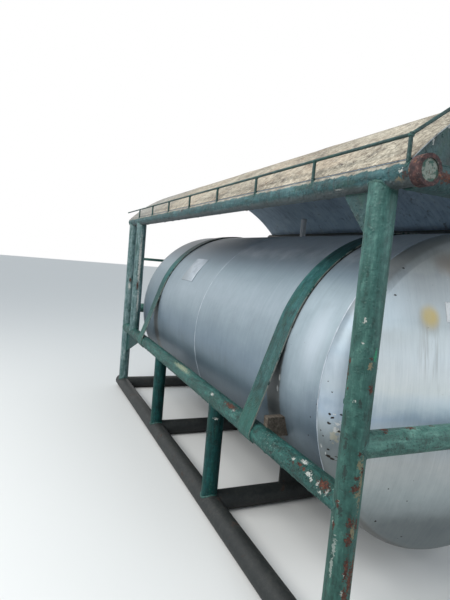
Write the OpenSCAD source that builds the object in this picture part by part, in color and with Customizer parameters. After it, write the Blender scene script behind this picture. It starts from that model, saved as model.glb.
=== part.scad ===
// Horizontal pressure tank in a welded pipe frame with a curved sheet roof.
// X runs along the tank, -Y is the front and Z is up.
// The origin is under the middle of the frame, on the floor.
// The frame stands on round runners, the tank lies on two saddles, and two straps hold it to the side rails.

/* [Tank] */
// Outside diameter of the tank
tank_d = 1829; // [1600:1:2100]
// Length of the shell between its two head seams
shell_l = 3658; // [2800:1:4600]
// Plate thickness of the shell and the heads
tank_wall = 8; // [4:0.5:16]
// Outside crown radius of the dished heads
head_crown_r = 1829; // [1600:1:2200]
// Outside knuckle radius of the dished heads
head_knuckle_r = 110; // [60:1:160]
// Length of the straight flange of each head
head_flange_l = 20; // [5:1:35]
// Clearance between the tank's underside and the base's cross pipes
tank_clear = 70.7; // [40:0.1:200]
// Outside diameter of the stub on top of the tank
stub_d = 48.3; // [30:0.1:90]
// Height of the stub above the tank
stub_h = 162; // [80:1:220]
// Place of the stub along the tank
stub_x = 100; // [60:1:600]

/* [Straps and saddles] */
// Width of each strap over the tank
strap_w = 150; // [100:1:220]
// Thickness of each strap
strap_t = 8; // [6:0.5:16]
// Width by which the liner shows beside each edge of its strap
liner_lap = 4; // [2:1:30]
// Thickness of the liner
liner_t = 4; // [3:0.5:12]
// Distance from the near head's seam to the middle of the near strap
near_strap_inset = 455; // [420:1:850]
// Distance from the far head's seam to the middle of the far strap
far_strap_inset = 549; // [300:1:900]
// Angle by which a strap end wraps round the outside of its rail
strap_wrap = 78; // [30:1:95]
// Length of a saddle across the tank
saddle_l = 900; // [500:1:1200]
// Thickness of a saddle's upright web
saddle_web_t = 16; // [8:1:40]
// Width of the curved pad on a saddle
saddle_pad_w = 150; // [80:1:260]
// Thickness of the curved pad on a saddle
saddle_pad_t = 10; // [5:0.5:20]
// Length along the rail of the timber chocks beside the tank
chock_l = 45; // [30:1:200]
// Height of the timber chocks above the rails' axis
chock_h = 112; // [80:1:150]
// Gap along the rail between the near strap and the chock
chock_gap = 5; // [3:1:60]

/* [Pipe frame] */
// Clearance between the tank and each side rail
side_gap = 45.85; // [30:0.05:150]
// Clearance along the frame between each head and the end posts
end_gap = 23.5; // [10:0.5:200]
// Outside diameter of posts, rails and legs
pipe_od = 114.3; // [95:0.1:120]
// Wall of posts, rails and legs
pipe_wall = 6; // [3:0.5:12]
// Depth of the side rails' axis below the tank's axis
rail_drop = 323; // [250:1:420]
// Height of the end rails' axis above the side rails' axis
end_rail_rise = 256.5; // [130:0.5:400]
// Distance from the near posts to the near middle legs
near_leg_gap = 1410.5; // [1000:0.5:1700]
// Distance between the near and the far middle legs
leg_pitch = 1428; // [1000:1:1700]
// Distance from the far posts to the inner posts
inner_post_gap = 410; // [250:1:600]
// Height of the far end's thin tie rod above the side rails' axis
tie_rod_rise = 891; // [600:1:1100]
// Diameter of the far end's thin tie rod
tie_rod_d = 33.4; // [20:0.1:50]
// Root gap of the welded pipe joints
weld_gap = 0.3; // [0.1:0.1:0.8]

/* [Base] */
// Outside diameter of the base pipes
base_od = 141.3; // [120:0.1:170]
// Wall of the base pipes
base_wall = 6.5; // [4:0.5:12]
// Length by which the runners pass the end posts' axes
runner_overhang = 120; // [80:1:160]
// Thickness of the plates that close the runners
runner_plate_t = 8; // [4:1:16]

/* [Roof] */
// Height of the eave pipes' axis above the tank's crown
eave_clear = 108.5; // [60:0.5:260]
// Outside diameter of the eave pipes
eave_od = 101.6; // [80:0.1:110]
// Wall of the eave pipes
eave_wall = 5.7; // [3:0.1:10]
// Height of the roof's underside at its crown above the eave pipes' axis
roof_rise = 502; // [400:1:600]
// Angle round an eave pipe from its top to the line on which the roof sheets sit
roof_seat = 35; // [20:1:42]
// Thickness of the roof sheets
sheet_t = 4; // [2:0.5:8]
// Distance from the near posts to the gable's cross beam
beam_gap = 114; // [110:1:140]
// Thickness of the gable plate
gable_t = 6; // [3:0.5:10]
// Length by which the eave pipes pass the far posts' axes
far_overhang = 105; // [70:1:160]
// Thickness of the plates that close the far ends of the eave pipes
eave_plate_t = 5; // [3:1:12]
// Thickness of the caps' rims round the eave pipes
cap_rim = 6.35; // [4:0.05:18]
// Length of the caps on the eave pipes
cap_l = 45; // [35:1:60]
// Depth of a cap's pocket for its pipe
cap_pocket = 30; // [15:1:32]
// Diameter of the recess in a cap's face
cap_recess_d = 82; // [50:1:90]
// Depth of the recess in a cap's face
cap_recess = 5; // [2:0.5:10]
// Clearance between the gable's cross beam and the caps
beam_cap_gap = 9.35; // [4:0.05:30]
// Clearance between the caps and both the roof's end and the near uprights
roof_cap_gap = 14; // [6:1:40]

/* [Tie rails] */
// Diameter of the tie rails' round bar
bar_d = 14; // [10:0.5:22]
// Diameter of the uprights under the tie rails
upright_d = 16; // [12:0.5:26]
// Number of uprights along each eave
upright_count = 8; // [5:1:14]
// Distance from the far end of the eave pipes to the far uprights
far_upright_inset = 540; // [60:1:700]
// Height of the tie rails above the eave pipes' axis
bar_rise = 127; // [115:1:150]
// Clear height of the near tie rail over the roof sheet
gable_bar_gap = 43; // [25:1:58]
// Diameter of the short stubs under the near tie rail
gable_stub_d = 12; // [8:0.5:14]

/* [Gussets] */
// Thickness of the gusset plates
gusset_t = 10; // [6:1:20]
// Length of the eave gussets along the eave, from the post
eave_gusset_l = 169; // [100:1:300]
// Drop of the eave gussets below the eave pipe
eave_gusset_h = 193; // [100:1:300]
// Length of the rail gussets along the rail, from the post
rail_gusset_l = 620; // [300:1:900]
// Drop of the rail gussets below the rail
rail_gusset_h = 250; // [120:1:400]
// Height of the blunt nose at each gusset's thin end
gusset_nose = 12; // [4:1:30]

/* [Hidden] */
$fn = 96;
tank_r = tank_d / 2;
half_shell = shell_l / 2;
pipe_r = pipe_od / 2;
base_r = base_od / 2;
eave_r = eave_od / 2;

// Each head's crown stands this far beyond its straight flange
head_rise = head_crown_r - sqrt(pow(head_crown_r - head_knuckle_r, 2) - pow(tank_r - head_knuckle_r, 2));

// The frame is built round the tank
half_l = half_shell + head_flange_l + head_rise + end_gap + pipe_r;
half_w = tank_r + side_gap + pipe_r;
frame_l = 2 * half_l;
frame_w = 2 * half_w;
tank_z = base_od + tank_clear + tank_r;
rail_z = tank_z - rail_drop;
end_rail_z = rail_z + end_rail_rise;
tie_rod_z = rail_z + tie_rod_rise;
near_leg_x = half_l - near_leg_gap;
far_leg_x = near_leg_x - leg_pitch;
inner_post_x = -half_l + inner_post_gap;
half_runner = half_l + runner_overhang;

// The near caps stand clear of the cross beam, and the eave pipes end inside them
beam_x = half_l + beam_gap;
near_eave_x = beam_x + pipe_r + beam_cap_gap + cap_pocket;
far_eave_x = -half_l - far_overhang;
eave_l = near_eave_x - far_eave_x;
eave_z = tank_z + tank_r + eave_clear;
cap_od = eave_od + 2 * cap_rim;

// The caps' faces at the near end and the tie rails' ends at the far end lie this far from the middle
half_span = near_eave_x + cap_l - cap_pocket;

// Post tops and beam ends stop this far short of the eave pipe's axis
seat_depth = eave_r / 2;

// The roof's inner arc ends on a line of each eave pipe, so its radius follows from the rise
roof_edge_y = half_w + (eave_r + weld_gap) * sin(roof_seat);
roof_arc_h = roof_rise - (eave_r + weld_gap) * cos(roof_seat);
roof_in_r = (pow(roof_edge_y, 2) + pow(roof_arc_h, 2)) / (2 * roof_arc_h);
roof_out_r = roof_in_r + sheet_t;
roof_z = eave_z + roof_rise - roof_in_r;
roof_angle = asin(roof_edge_y / roof_in_r);
near_roof_x = near_eave_x - cap_pocket - roof_cap_gap;
roof_l = near_roof_x - far_eave_x;
sheet_l = roof_l / 4;

near_strap_x = half_shell - near_strap_inset;
far_strap_x = -half_shell + far_strap_inset;
liner_w = strap_w + 2 * liner_lap;

// A strap leaves the tank along the line that also touches the outside of the rail, like a belt
strap_in_r = tank_r + liner_t;
strap_out_r = strap_in_r + strap_t;
rail_seat_r = pipe_r + weld_gap;
rail_reach = norm([half_w, rail_drop]);
strap_angle = acos((strap_in_r - rail_seat_r) / rail_reach) - atan2(rail_drop, half_w);
strap_leg = sqrt(pow(rail_reach, 2) - pow(strap_in_r - rail_seat_r, 2));

// The uprights of the tie rails stand on the eave pipes' shoulders, just outside the roof's edge
bar_r = bar_d / 2;
upright_r = upright_d / 2;
bar_y = roof_edge_y + sheet_t + upright_r;
bar_z = eave_z + bar_rise;
near_upright_x = near_roof_x - upright_r;
upright_pitch = (near_upright_x - far_eave_x - far_upright_inset) / (upright_count - 1);
upright_xs = [for (i = [0 : upright_count - 1]) near_upright_x - i * upright_pitch];
bar_near_x = near_upright_x + bar_r;

// The near tie rail climbs straight from each corner until it touches its arc over the roof
gable_bar_r = roof_out_r + gable_bar_gap;
corner_reach = norm([bar_y, bar_z - roof_z]);
corner_angle = atan2(bar_y, bar_z - roof_z);
gable_bar_angle = corner_angle - acos(gable_bar_r / corner_reach);
gable_climb_l = sqrt(pow(corner_reach, 2) - pow(gable_bar_r, 2));
stub_angle = gable_bar_angle * 2 / 3;

saddle_pad_angle = asin(saddle_l / 2 / (tank_r + saddle_pad_t));
chock_x = near_strap_x + liner_w / 2 + chock_gap + chock_l / 2;

frame_green = [0.30, 0.45, 0.38];
tank_silver = [0.66, 0.69, 0.72];
roof_beige = [0.70, 0.65, 0.56];
base_black = [0.13, 0.12, 0.11];
rust_brown = [0.36, 0.20, 0.14];
timber_brown = [0.42, 0.33, 0.24];
liner_black = [0.10, 0.10, 0.10];

// Round bars and pipes along each axis, centred on the given point
module bar_along_x(d, l) {
    rotate([0, 90, 0]) cylinder(d = d, h = l, center = true);
}

module bar_along_y(d, l) {
    rotate([90, 0, 0]) cylinder(d = d, h = l, center = true);
}

module pipe_along_x(od, wall, l) {
    difference() {
        bar_along_x(od, l);
        bar_along_x(od - 2 * wall, l + 2);
    }
}

module pipe_along_y(od, wall, l) {
    difference() {
        bar_along_y(od, l);
        bar_along_y(od - 2 * wall, l + 2);
    }
}

module pipe_upright(od, wall, z0, z1) {
    translate([0, 0, z0]) difference() {
        cylinder(d = od, h = z1 - z0);
        translate([0, 0, -1]) cylinder(d = od - 2 * wall, h = z1 - z0 + 2);
    }
}

// A profile drawn in Y and Z, extruded along X and centred on X = 0
module extrude_along_x(l) {
    rotate([90, 0, 90]) linear_extrude(height = l, center = true) children();
}

// Cutters with which the pipes are coped to each other
module cope_side_pipe(side, z, d) {
    translate([0, side * half_w, z]) bar_along_x(d + 2 * weld_gap, 2 * half_span);
}

module cope_post(x, side) {
    translate([x, side * half_w, 0]) cylinder(d = pipe_od + 2 * weld_gap, h = eave_z + pipe_od);
}

// The ring between two arcs, kept between two angles measured from straight up
module arc_band(r_in, r_out, a0, a1) {
    reach = r_out * 1.5;
    intersection() {
        difference() {
            circle(r = r_out, $fn = 256);
            circle(r = r_in, $fn = 256);
        }
        polygon(concat([[0, 0]], [for (i = [0 : 6])
            let (a = a0 + (a1 - a0) * i / 6) [reach * sin(a), reach * cos(a)]]));
    }
}

// Half outline of a dished head: crown arc, knuckle arc and straight flange
module head_outline(r, crown_r, knuckle_r, flange_l) {
    drop = sqrt(pow(crown_r - knuckle_r, 2) - pow(r - knuckle_r, 2));
    meet = atan2(r - knuckle_r, drop);
    intersection() {
        translate([0, -drop]) circle(r = crown_r, $fn = 256);
        square([r, crown_r]);
        translate([0, -drop]) polygon([[0, 0], [2 * crown_r * tan(meet), 2 * crown_r], [0, 2 * crown_r]]);
    }
    intersection() {
        translate([r - knuckle_r, 0]) circle(r = knuckle_r);
        square([r, knuckle_r]);
    }
    translate([0, -flange_l]) square([r, flange_l]);
}

module dished_head() {
    translate([half_shell + head_flange_l, 0, tank_z]) rotate([0, 90, 0]) rotate_extrude($fn = 256) {
        difference() {
            head_outline(tank_r, head_crown_r, head_knuckle_r, head_flange_l);
            head_core();
        }
    }
}

// The hollow inside a head, one wall smaller all round
module head_core() {
    head_outline(tank_r - tank_wall, head_crown_r - tank_wall, head_knuckle_r - tank_wall, head_flange_l + 1);
}

module shell_course(x0, x1) {
    color(tank_silver) translate([(x0 + x1) / 2, 0, tank_z])
        pipe_along_x(tank_d, tank_wall, x1 - x0, $fn = 256);
}

// A strap follows the tank over its liner, runs straight to the rails and wraps round their outside
module strap(x) {
    color(frame_green) translate([x, 0, tank_z]) extrude_along_x(strap_w) {
        arc_band(strap_in_r, strap_out_r, strap_angle - 90, 90 - strap_angle);
        for (s = [0, 1]) mirror([s, 0]) {
            rotate(strap_angle) translate([strap_in_r, -strap_leg]) square([strap_t, strap_leg]);
            translate([half_w, -rail_drop])
                arc_band(rail_seat_r, rail_seat_r + strap_t, 90 - strap_angle, 90 - strap_angle + strap_wrap);
        }
    }
}

module liner(x) {
    color(liner_black) translate([x, 0, tank_z]) extrude_along_x(liner_w)
        arc_band(tank_r, strap_in_r, strap_angle - 90, 90 - strap_angle);
}

module saddle(x) {
    color(base_black) difference() {
        translate([x, 0, 0]) union() {
            translate([0, 0, tank_z]) extrude_along_x(saddle_pad_w)
                arc_band(tank_r, tank_r + saddle_pad_t, 180 - saddle_pad_angle, 180 + saddle_pad_angle);
            extrude_along_x(saddle_web_t) difference() {
                translate([-saddle_l / 2, base_r]) square([saddle_l, tank_z - base_r]);
                translate([0, tank_z]) circle(r = tank_r + saddle_pad_t / 2, $fn = 256);
            }
        }
        translate([x, 0, base_r]) bar_along_y(base_od + 2 * weld_gap, frame_w);
    }
}

module timber_chock(side) {
    difference() {
        translate([chock_x - chock_l / 2, side > 0 ? half_w - tank_r / 4 : -half_w + pipe_r / 3, rail_z])
            cube([chock_l, tank_r / 4 - pipe_r / 3, chock_h]);
        translate([0, side * half_w, rail_z]) bar_along_x(pipe_od + 2 * weld_gap, frame_l);
        translate([0, 0, tank_z]) bar_along_x(tank_d + 2 * weld_gap, frame_l, $fn = 256);
    }
}

module side_rail(side) {
    color(frame_green) difference() {
        translate([0, side * half_w, rail_z]) pipe_along_x(pipe_od, pipe_wall, frame_l);
        for (x = [-half_l, half_l]) cope_post(x, side);
    }
}

module end_rail(x, z) {
    color(frame_green) difference() {
        translate([x, 0, z]) pipe_along_y(pipe_od, pipe_wall, frame_w);
        for (s = [-1, 1]) cope_post(x, s);
    }
}

// A post runs from the runner up into its seat under the eave pipe
module end_post(x, side) {
    color(frame_green) difference() {
        translate([x, side * half_w, 0]) pipe_upright(pipe_od, pipe_wall, base_r, eave_z - seat_depth);
        cope_side_pipe(side, base_r, base_od);
        cope_side_pipe(side, eave_z, eave_od);
    }
}

module inner_post(side) {
    difference() {
        translate([inner_post_x, side * half_w, 0])
            pipe_upright(pipe_od, pipe_wall, rail_z, eave_z - seat_depth);
        cope_side_pipe(side, rail_z, pipe_od);
        cope_side_pipe(side, eave_z, eave_od);
    }
}

module middle_legs(side) {
    color(frame_green) difference() {
        for (x = [near_leg_x, far_leg_x])
            translate([x, side * half_w, 0]) pipe_upright(pipe_od, pipe_wall, base_r, rail_z);
        cope_side_pipe(side, base_r, base_od);
        cope_side_pipe(side, rail_z, pipe_od);
    }
}

module runner(side) {
    color(base_black) translate([0, side * half_w, base_r]) pipe_along_x(base_od, base_wall, 2 * half_runner);
}

module runner_end_plates() {
    color(base_black) for (sx = [-1, 1], sy = [-1, 1])
        translate([sx * (half_runner + runner_plate_t / 2), sy * half_w, base_r])
            bar_along_x(base_od, runner_plate_t);
}

module base_cross_pipes() {
    color(base_black) difference() {
        for (x = [-half_l, far_leg_x, near_leg_x, half_l])
            translate([x, 0, base_r]) pipe_along_y(base_od, base_wall, frame_w);
        for (s = [-1, 1]) cope_side_pipe(s, base_r, base_od);
    }
}

module eave_pipe(side) {
    color(frame_green) translate([(near_eave_x + far_eave_x) / 2, side * half_w, eave_z])
        pipe_along_x(eave_od, eave_wall, eave_l);
}

// A cap is a heavy ring over the pipe end, closed by a plate with a shallow recess
module eave_cap(side) {
    translate([0, side * half_w, eave_z]) difference() {
        translate([half_span - cap_l / 2, 0, 0]) bar_along_x(cap_od, cap_l);
        translate([near_eave_x - cap_pocket, 0, 0]) bar_along_x(eave_od + 2 * weld_gap, 2 * cap_pocket);
        translate([half_span, 0, 0]) bar_along_x(cap_recess_d, 2 * cap_recess);
    }
}

module gable_beam() {
    color(frame_green) difference() {
        translate([beam_x, 0, eave_z]) pipe_along_y(pipe_od, pipe_wall, frame_w - 2 * seat_depth);
        for (s = [-1, 1]) cope_side_pipe(s, eave_z, eave_od);
    }
}

// The gable plate fills the arc over the cross beam
module gable_plate() {
    color(frame_green) difference() {
        translate([beam_x, 0, roof_z]) extrude_along_x(gable_t) intersection() {
            circle(r = roof_in_r, $fn = 256);
            translate([-half_w, eave_z - roof_z]) square([frame_w, roof_in_r]);
        }
        translate([beam_x, 0, eave_z]) bar_along_y(pipe_od + 2 * weld_gap, frame_w);
        for (s = [-1, 1]) cope_side_pipe(s, eave_z, eave_od);
    }
}

module roof_sheet(i) {
    color(roof_beige) translate([far_eave_x + (i - 0.5) * sheet_l, 0, roof_z]) extrude_along_x(sheet_l)
        arc_band(roof_in_r, roof_out_r, -roof_angle, roof_angle);
}

module side_tie_rail(side) {
    color(frame_green) translate([(bar_near_x - half_span) / 2, side * bar_y, bar_z])
        bar_along_x(bar_d, bar_near_x + half_span);
}

module uprights(side) {
    color(frame_green) difference() {
        for (x = upright_xs) translate([x, side * bar_y, eave_z]) cylinder(d = upright_d, h = bar_rise);
        cope_side_pipe(side, eave_z, eave_od);
        translate([0, side * bar_y, bar_z]) bar_along_x(bar_d + 2 * weld_gap, 2 * half_span);
    }
}

// The near tie rail climbs from both corners, follows the roof and stands on three short stubs
module gable_tie_rail() {
    color(frame_green) translate([near_upright_x, 0, roof_z]) {
        rotate([90, 0, 90]) rotate([0, 0, 90 - gable_bar_angle])
            rotate_extrude(angle = 2 * gable_bar_angle, $fn = 256)
                translate([gable_bar_r, 0]) circle(d = bar_d);
        difference() {
            union() {
                for (s = [-1, 1]) rotate([s * gable_bar_angle, 0, 0])
                    translate([0, -s * (gable_climb_l + weld_gap) / 2, gable_bar_r])
                        bar_along_y(bar_d, gable_climb_l - weld_gap);
                for (a = [-stub_angle, 0, stub_angle]) rotate([a, 0, 0])
                    translate([0, 0, roof_in_r]) cylinder(d = gable_stub_d, h = gable_bar_r - roof_in_r);
            }
            bar_along_x(2 * (roof_out_r + weld_gap), roof_l, $fn = 256);
            for (s = [-1, 1]) translate([0, s * bar_y, bar_z - roof_z])
                bar_along_x(bar_d + 2 * weld_gap, roof_l);
        }
    }
}

module eave_gussets() {
    color(frame_green) for (s = [-1, 1]) difference() {
        translate([half_l - pipe_r, s * half_w, eave_z]) rotate([90, 0, 0])
            linear_extrude(height = gusset_t, center = true) polygon([[pipe_r / 2, 0], [-eave_gusset_l, 0],
                [-eave_gusset_l, -eave_r - gusset_nose], [0, -eave_r - eave_gusset_h],
                [pipe_r / 2, -eave_r - eave_gusset_h]]);
        cope_side_pipe(s, eave_z, eave_od);
        cope_post(half_l, s);
    }
}

module rail_gussets() {
    color(frame_green) for (s = [-1, 1]) difference() {
        translate([-half_l + pipe_r, s * half_w, rail_z]) rotate([90, 0, 0])
            linear_extrude(height = gusset_t, center = true) polygon([[-pipe_r / 2, 0], [rail_gusset_l, 0],
                [rail_gusset_l, -pipe_r - gusset_nose], [0, -pipe_r - rail_gusset_h],
                [-pipe_r / 2, -pipe_r - rail_gusset_h]]);
        cope_side_pipe(s, rail_z, pipe_od);
        cope_post(-half_l, s);
    }
}

module near_head() {
    color(tank_silver) dished_head();
}

module far_head() {
    color(tank_silver) mirror([1, 0, 0]) dished_head();
}

// A capped stub that stands on the shell's crown
module top_stub() {
    color(tank_silver) difference() {
        translate([stub_x, 0, tank_z]) cylinder(d = stub_d, h = tank_r + stub_h);
        translate([0, 0, tank_z]) bar_along_x(tank_d + 2 * weld_gap, shell_l, $fn = 256);
    }
}

module far_tie_rod() {
    color(frame_green) difference() {
        translate([-half_l, 0, tie_rod_z]) bar_along_y(tie_rod_d, frame_w);
        for (s = [-1, 1]) cope_post(-half_l, s);
    }
}

// The near ends of the eave pipes carry the caps, and thin plates close the far ends
module eave_caps() {
    color(rust_brown) for (s = [-1, 1]) {
        eave_cap(s);
        translate([far_eave_x - eave_plate_t / 2, s * half_w, eave_z]) bar_along_x(eave_od, eave_plate_t);
    }
}

module inner_posts() {
    color(frame_green) for (s = [-1, 1]) inner_post(s);
}

module timber_chocks() {
    color(timber_brown) for (s = [-1, 1]) timber_chock(s);
}

shell_course(0, half_shell);  // shell_near
shell_course(-half_shell, 0);  // shell_far
near_head();
far_head();
top_stub();
strap(near_strap_x);  // near_strap
strap(far_strap_x);  // far_strap
liner(near_strap_x);  // near_liner
liner(far_strap_x);  // far_liner
saddle(near_leg_x);  // near_saddle
saddle(far_leg_x);  // far_saddle
timber_chocks();
side_rail(-1);  // front_side_rail
side_rail(1);  // back_side_rail
end_rail(half_l, end_rail_z);  // near_end_rail
end_rail(-half_l, end_rail_z);  // far_end_rail
end_post(half_l, -1);  // near_front_post
end_post(half_l, 1);  // near_back_post
end_post(-half_l, -1);  // far_front_post
end_post(-half_l, 1);  // far_back_post
inner_posts();
middle_legs(-1);  // front_legs
middle_legs(1);  // back_legs
far_tie_rod();
runner(-1);  // front_runner
runner(1);  // back_runner
runner_end_plates();
base_cross_pipes();
eave_pipe(-1);  // front_eave_pipe
eave_pipe(1);  // back_eave_pipe
eave_caps();
gable_beam();
gable_plate();
roof_sheet(1);  // roof_sheet_1
roof_sheet(2);  // roof_sheet_2
roof_sheet(3);  // roof_sheet_3
roof_sheet(4);  // roof_sheet_4
side_tie_rail(-1);  // front_tie_rail
side_tie_rail(1);  // back_tie_rail
gable_tie_rail();
uprights(-1);  // front_uprights
uprights(1);  // back_uprights
eave_gussets();
rail_gussets();
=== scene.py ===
import math
import random
import bpy
import numpy as np
from mathutils import Matrix, Vector


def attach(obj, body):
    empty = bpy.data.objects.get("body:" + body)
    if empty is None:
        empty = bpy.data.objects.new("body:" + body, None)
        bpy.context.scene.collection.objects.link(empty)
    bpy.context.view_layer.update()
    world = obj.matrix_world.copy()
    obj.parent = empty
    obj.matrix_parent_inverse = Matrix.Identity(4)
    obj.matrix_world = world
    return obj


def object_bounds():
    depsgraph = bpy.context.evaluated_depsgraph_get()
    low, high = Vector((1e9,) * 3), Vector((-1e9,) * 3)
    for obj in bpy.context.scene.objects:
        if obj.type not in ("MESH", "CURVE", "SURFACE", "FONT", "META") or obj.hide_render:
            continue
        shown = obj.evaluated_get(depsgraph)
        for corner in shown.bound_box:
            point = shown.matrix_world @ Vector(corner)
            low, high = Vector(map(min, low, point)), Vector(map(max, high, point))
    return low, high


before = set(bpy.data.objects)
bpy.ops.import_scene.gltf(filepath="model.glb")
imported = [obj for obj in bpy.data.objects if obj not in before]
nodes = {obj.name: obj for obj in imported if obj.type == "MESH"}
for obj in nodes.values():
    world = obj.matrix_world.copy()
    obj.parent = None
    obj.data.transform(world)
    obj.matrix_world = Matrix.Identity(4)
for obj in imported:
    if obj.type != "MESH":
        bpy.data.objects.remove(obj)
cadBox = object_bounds()
scene = bpy.context.scene
print("stage: frame loaded,", len(nodes), "nodes")

# the sizes that the pieces share, in metres
sizes = {
    "halfLength": 2.239525,
    "halfWidth": 1.0175,
    "pipeRadius": 0.05715,
    "baseRadius": 0.07065,
    "eaveRadius": 0.0508,
    "tankRadius": 0.9145,
    "tankZ": 1.1265,
    "railZ": 0.8035,
    "endRailZ": 1.060,
    "tieRodZ": 1.6945,
    "eaveZ": 2.1495,
    "beamX": 2.353525,
    "nearEaveX": 2.450025,
    "farEaveX": -2.344525,
    "halfRunner": 2.359525,
    "halfShell": 1.829,
    "nearLegX": 0.829025,
    "farLegX": -0.598975,
    "innerPostX": -1.829525,
    "nearStrapX": 1.374,
    "farStrapX": -1.280,
    "strapWidth": 0.150,
    "roofRadius": 1.420803,
    "roofZ": 1.230697,
    "roofAngle": math.radians(47.457),
    "sheetLength": 1.1876375,
    "sheetThick": 0.004,
    "barY": 1.058810,
    "barZ": 2.2765,
    "nearUprightX": 2.398025,
    "uprightPitch": 0.600364,
}
halfLength, halfWidth = sizes["halfLength"], sizes["halfWidth"]
tankRadius, tankZ = sizes["tankRadius"], sizes["tankZ"]
pipeRadius, eaveRadius, baseRadius = sizes["pipeRadius"], sizes["eaveRadius"], sizes["baseRadius"]
railZ, eaveZ, roofZ, roofRadius = sizes["railZ"], sizes["eaveZ"], sizes["roofZ"], sizes["roofRadius"]
legXs, strapXs = (sizes["nearLegX"], sizes["farLegX"]), (sizes["nearStrapX"], sizes["farStrapX"])

# camera, solved from the straight pipes and the seams
cameraSetup = {
    "place": (3.7064, -2.3034, 1.7716),
    "right": (0.39655, 0.91367, 0.08921),
    "up": (-0.11347, -0.04765, 0.99240),
    "back": (0.91097, -0.40366, 0.08478),
    "lens": 27.856,
    "sensor": 36.0,
    "far": 200.0,
}
cameraData = bpy.data.cameras.new("viewCamera")
cameraData.lens = cameraSetup["lens"]
cameraData.sensor_width = cameraSetup["sensor"]
cameraData.clip_end = cameraSetup["far"]
cameraObject = bpy.data.objects.new("viewCamera", cameraData)
scene.collection.objects.link(cameraObject)
turn = Matrix((cameraSetup["right"], cameraSetup["up"], cameraSetup["back"])).transposed()
cameraObject.matrix_world = Matrix.Translation(cameraSetup["place"]) @ turn.to_4x4()
scene.camera = cameraObject
print("stage: camera set")


class Wire:
    # a node's output that takes part in plain sums
    def __init__(self, finish, socket):
        self.finish = finish
        self.socket = socket

    def math(self, operation, *others):
        return self.finish.add("ShaderNodeMath", {"operation": operation}, dict(enumerate((self, *others))))

    def upTo(self, limit):
        return self.math("MINIMUM", limit)

    def atLeast(self, limit):
        return self.math("MAXIMUM", limit)

    def __abs__(self):
        return self.math("ABSOLUTE")

    def __getitem__(self, name):
        return Wire(self.finish, self.socket.node.outputs[name])

    def __add__(self, other):
        return self.math("ADD", other)

    __radd__ = __add__

    def __sub__(self, other):
        return self.math("SUBTRACT", other)

    def __rsub__(self, other):
        return self.finish.add("ShaderNodeMath", {"operation": "SUBTRACT"}, {0: other, 1: self})

    def __mul__(self, other):
        return self.math("MULTIPLY", other)

    __rmul__ = __mul__

    def __truediv__(self, other):
        return self.math("DIVIDE", other)

    def __pow__(self, other):
        return self.math("POWER", other)


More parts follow.
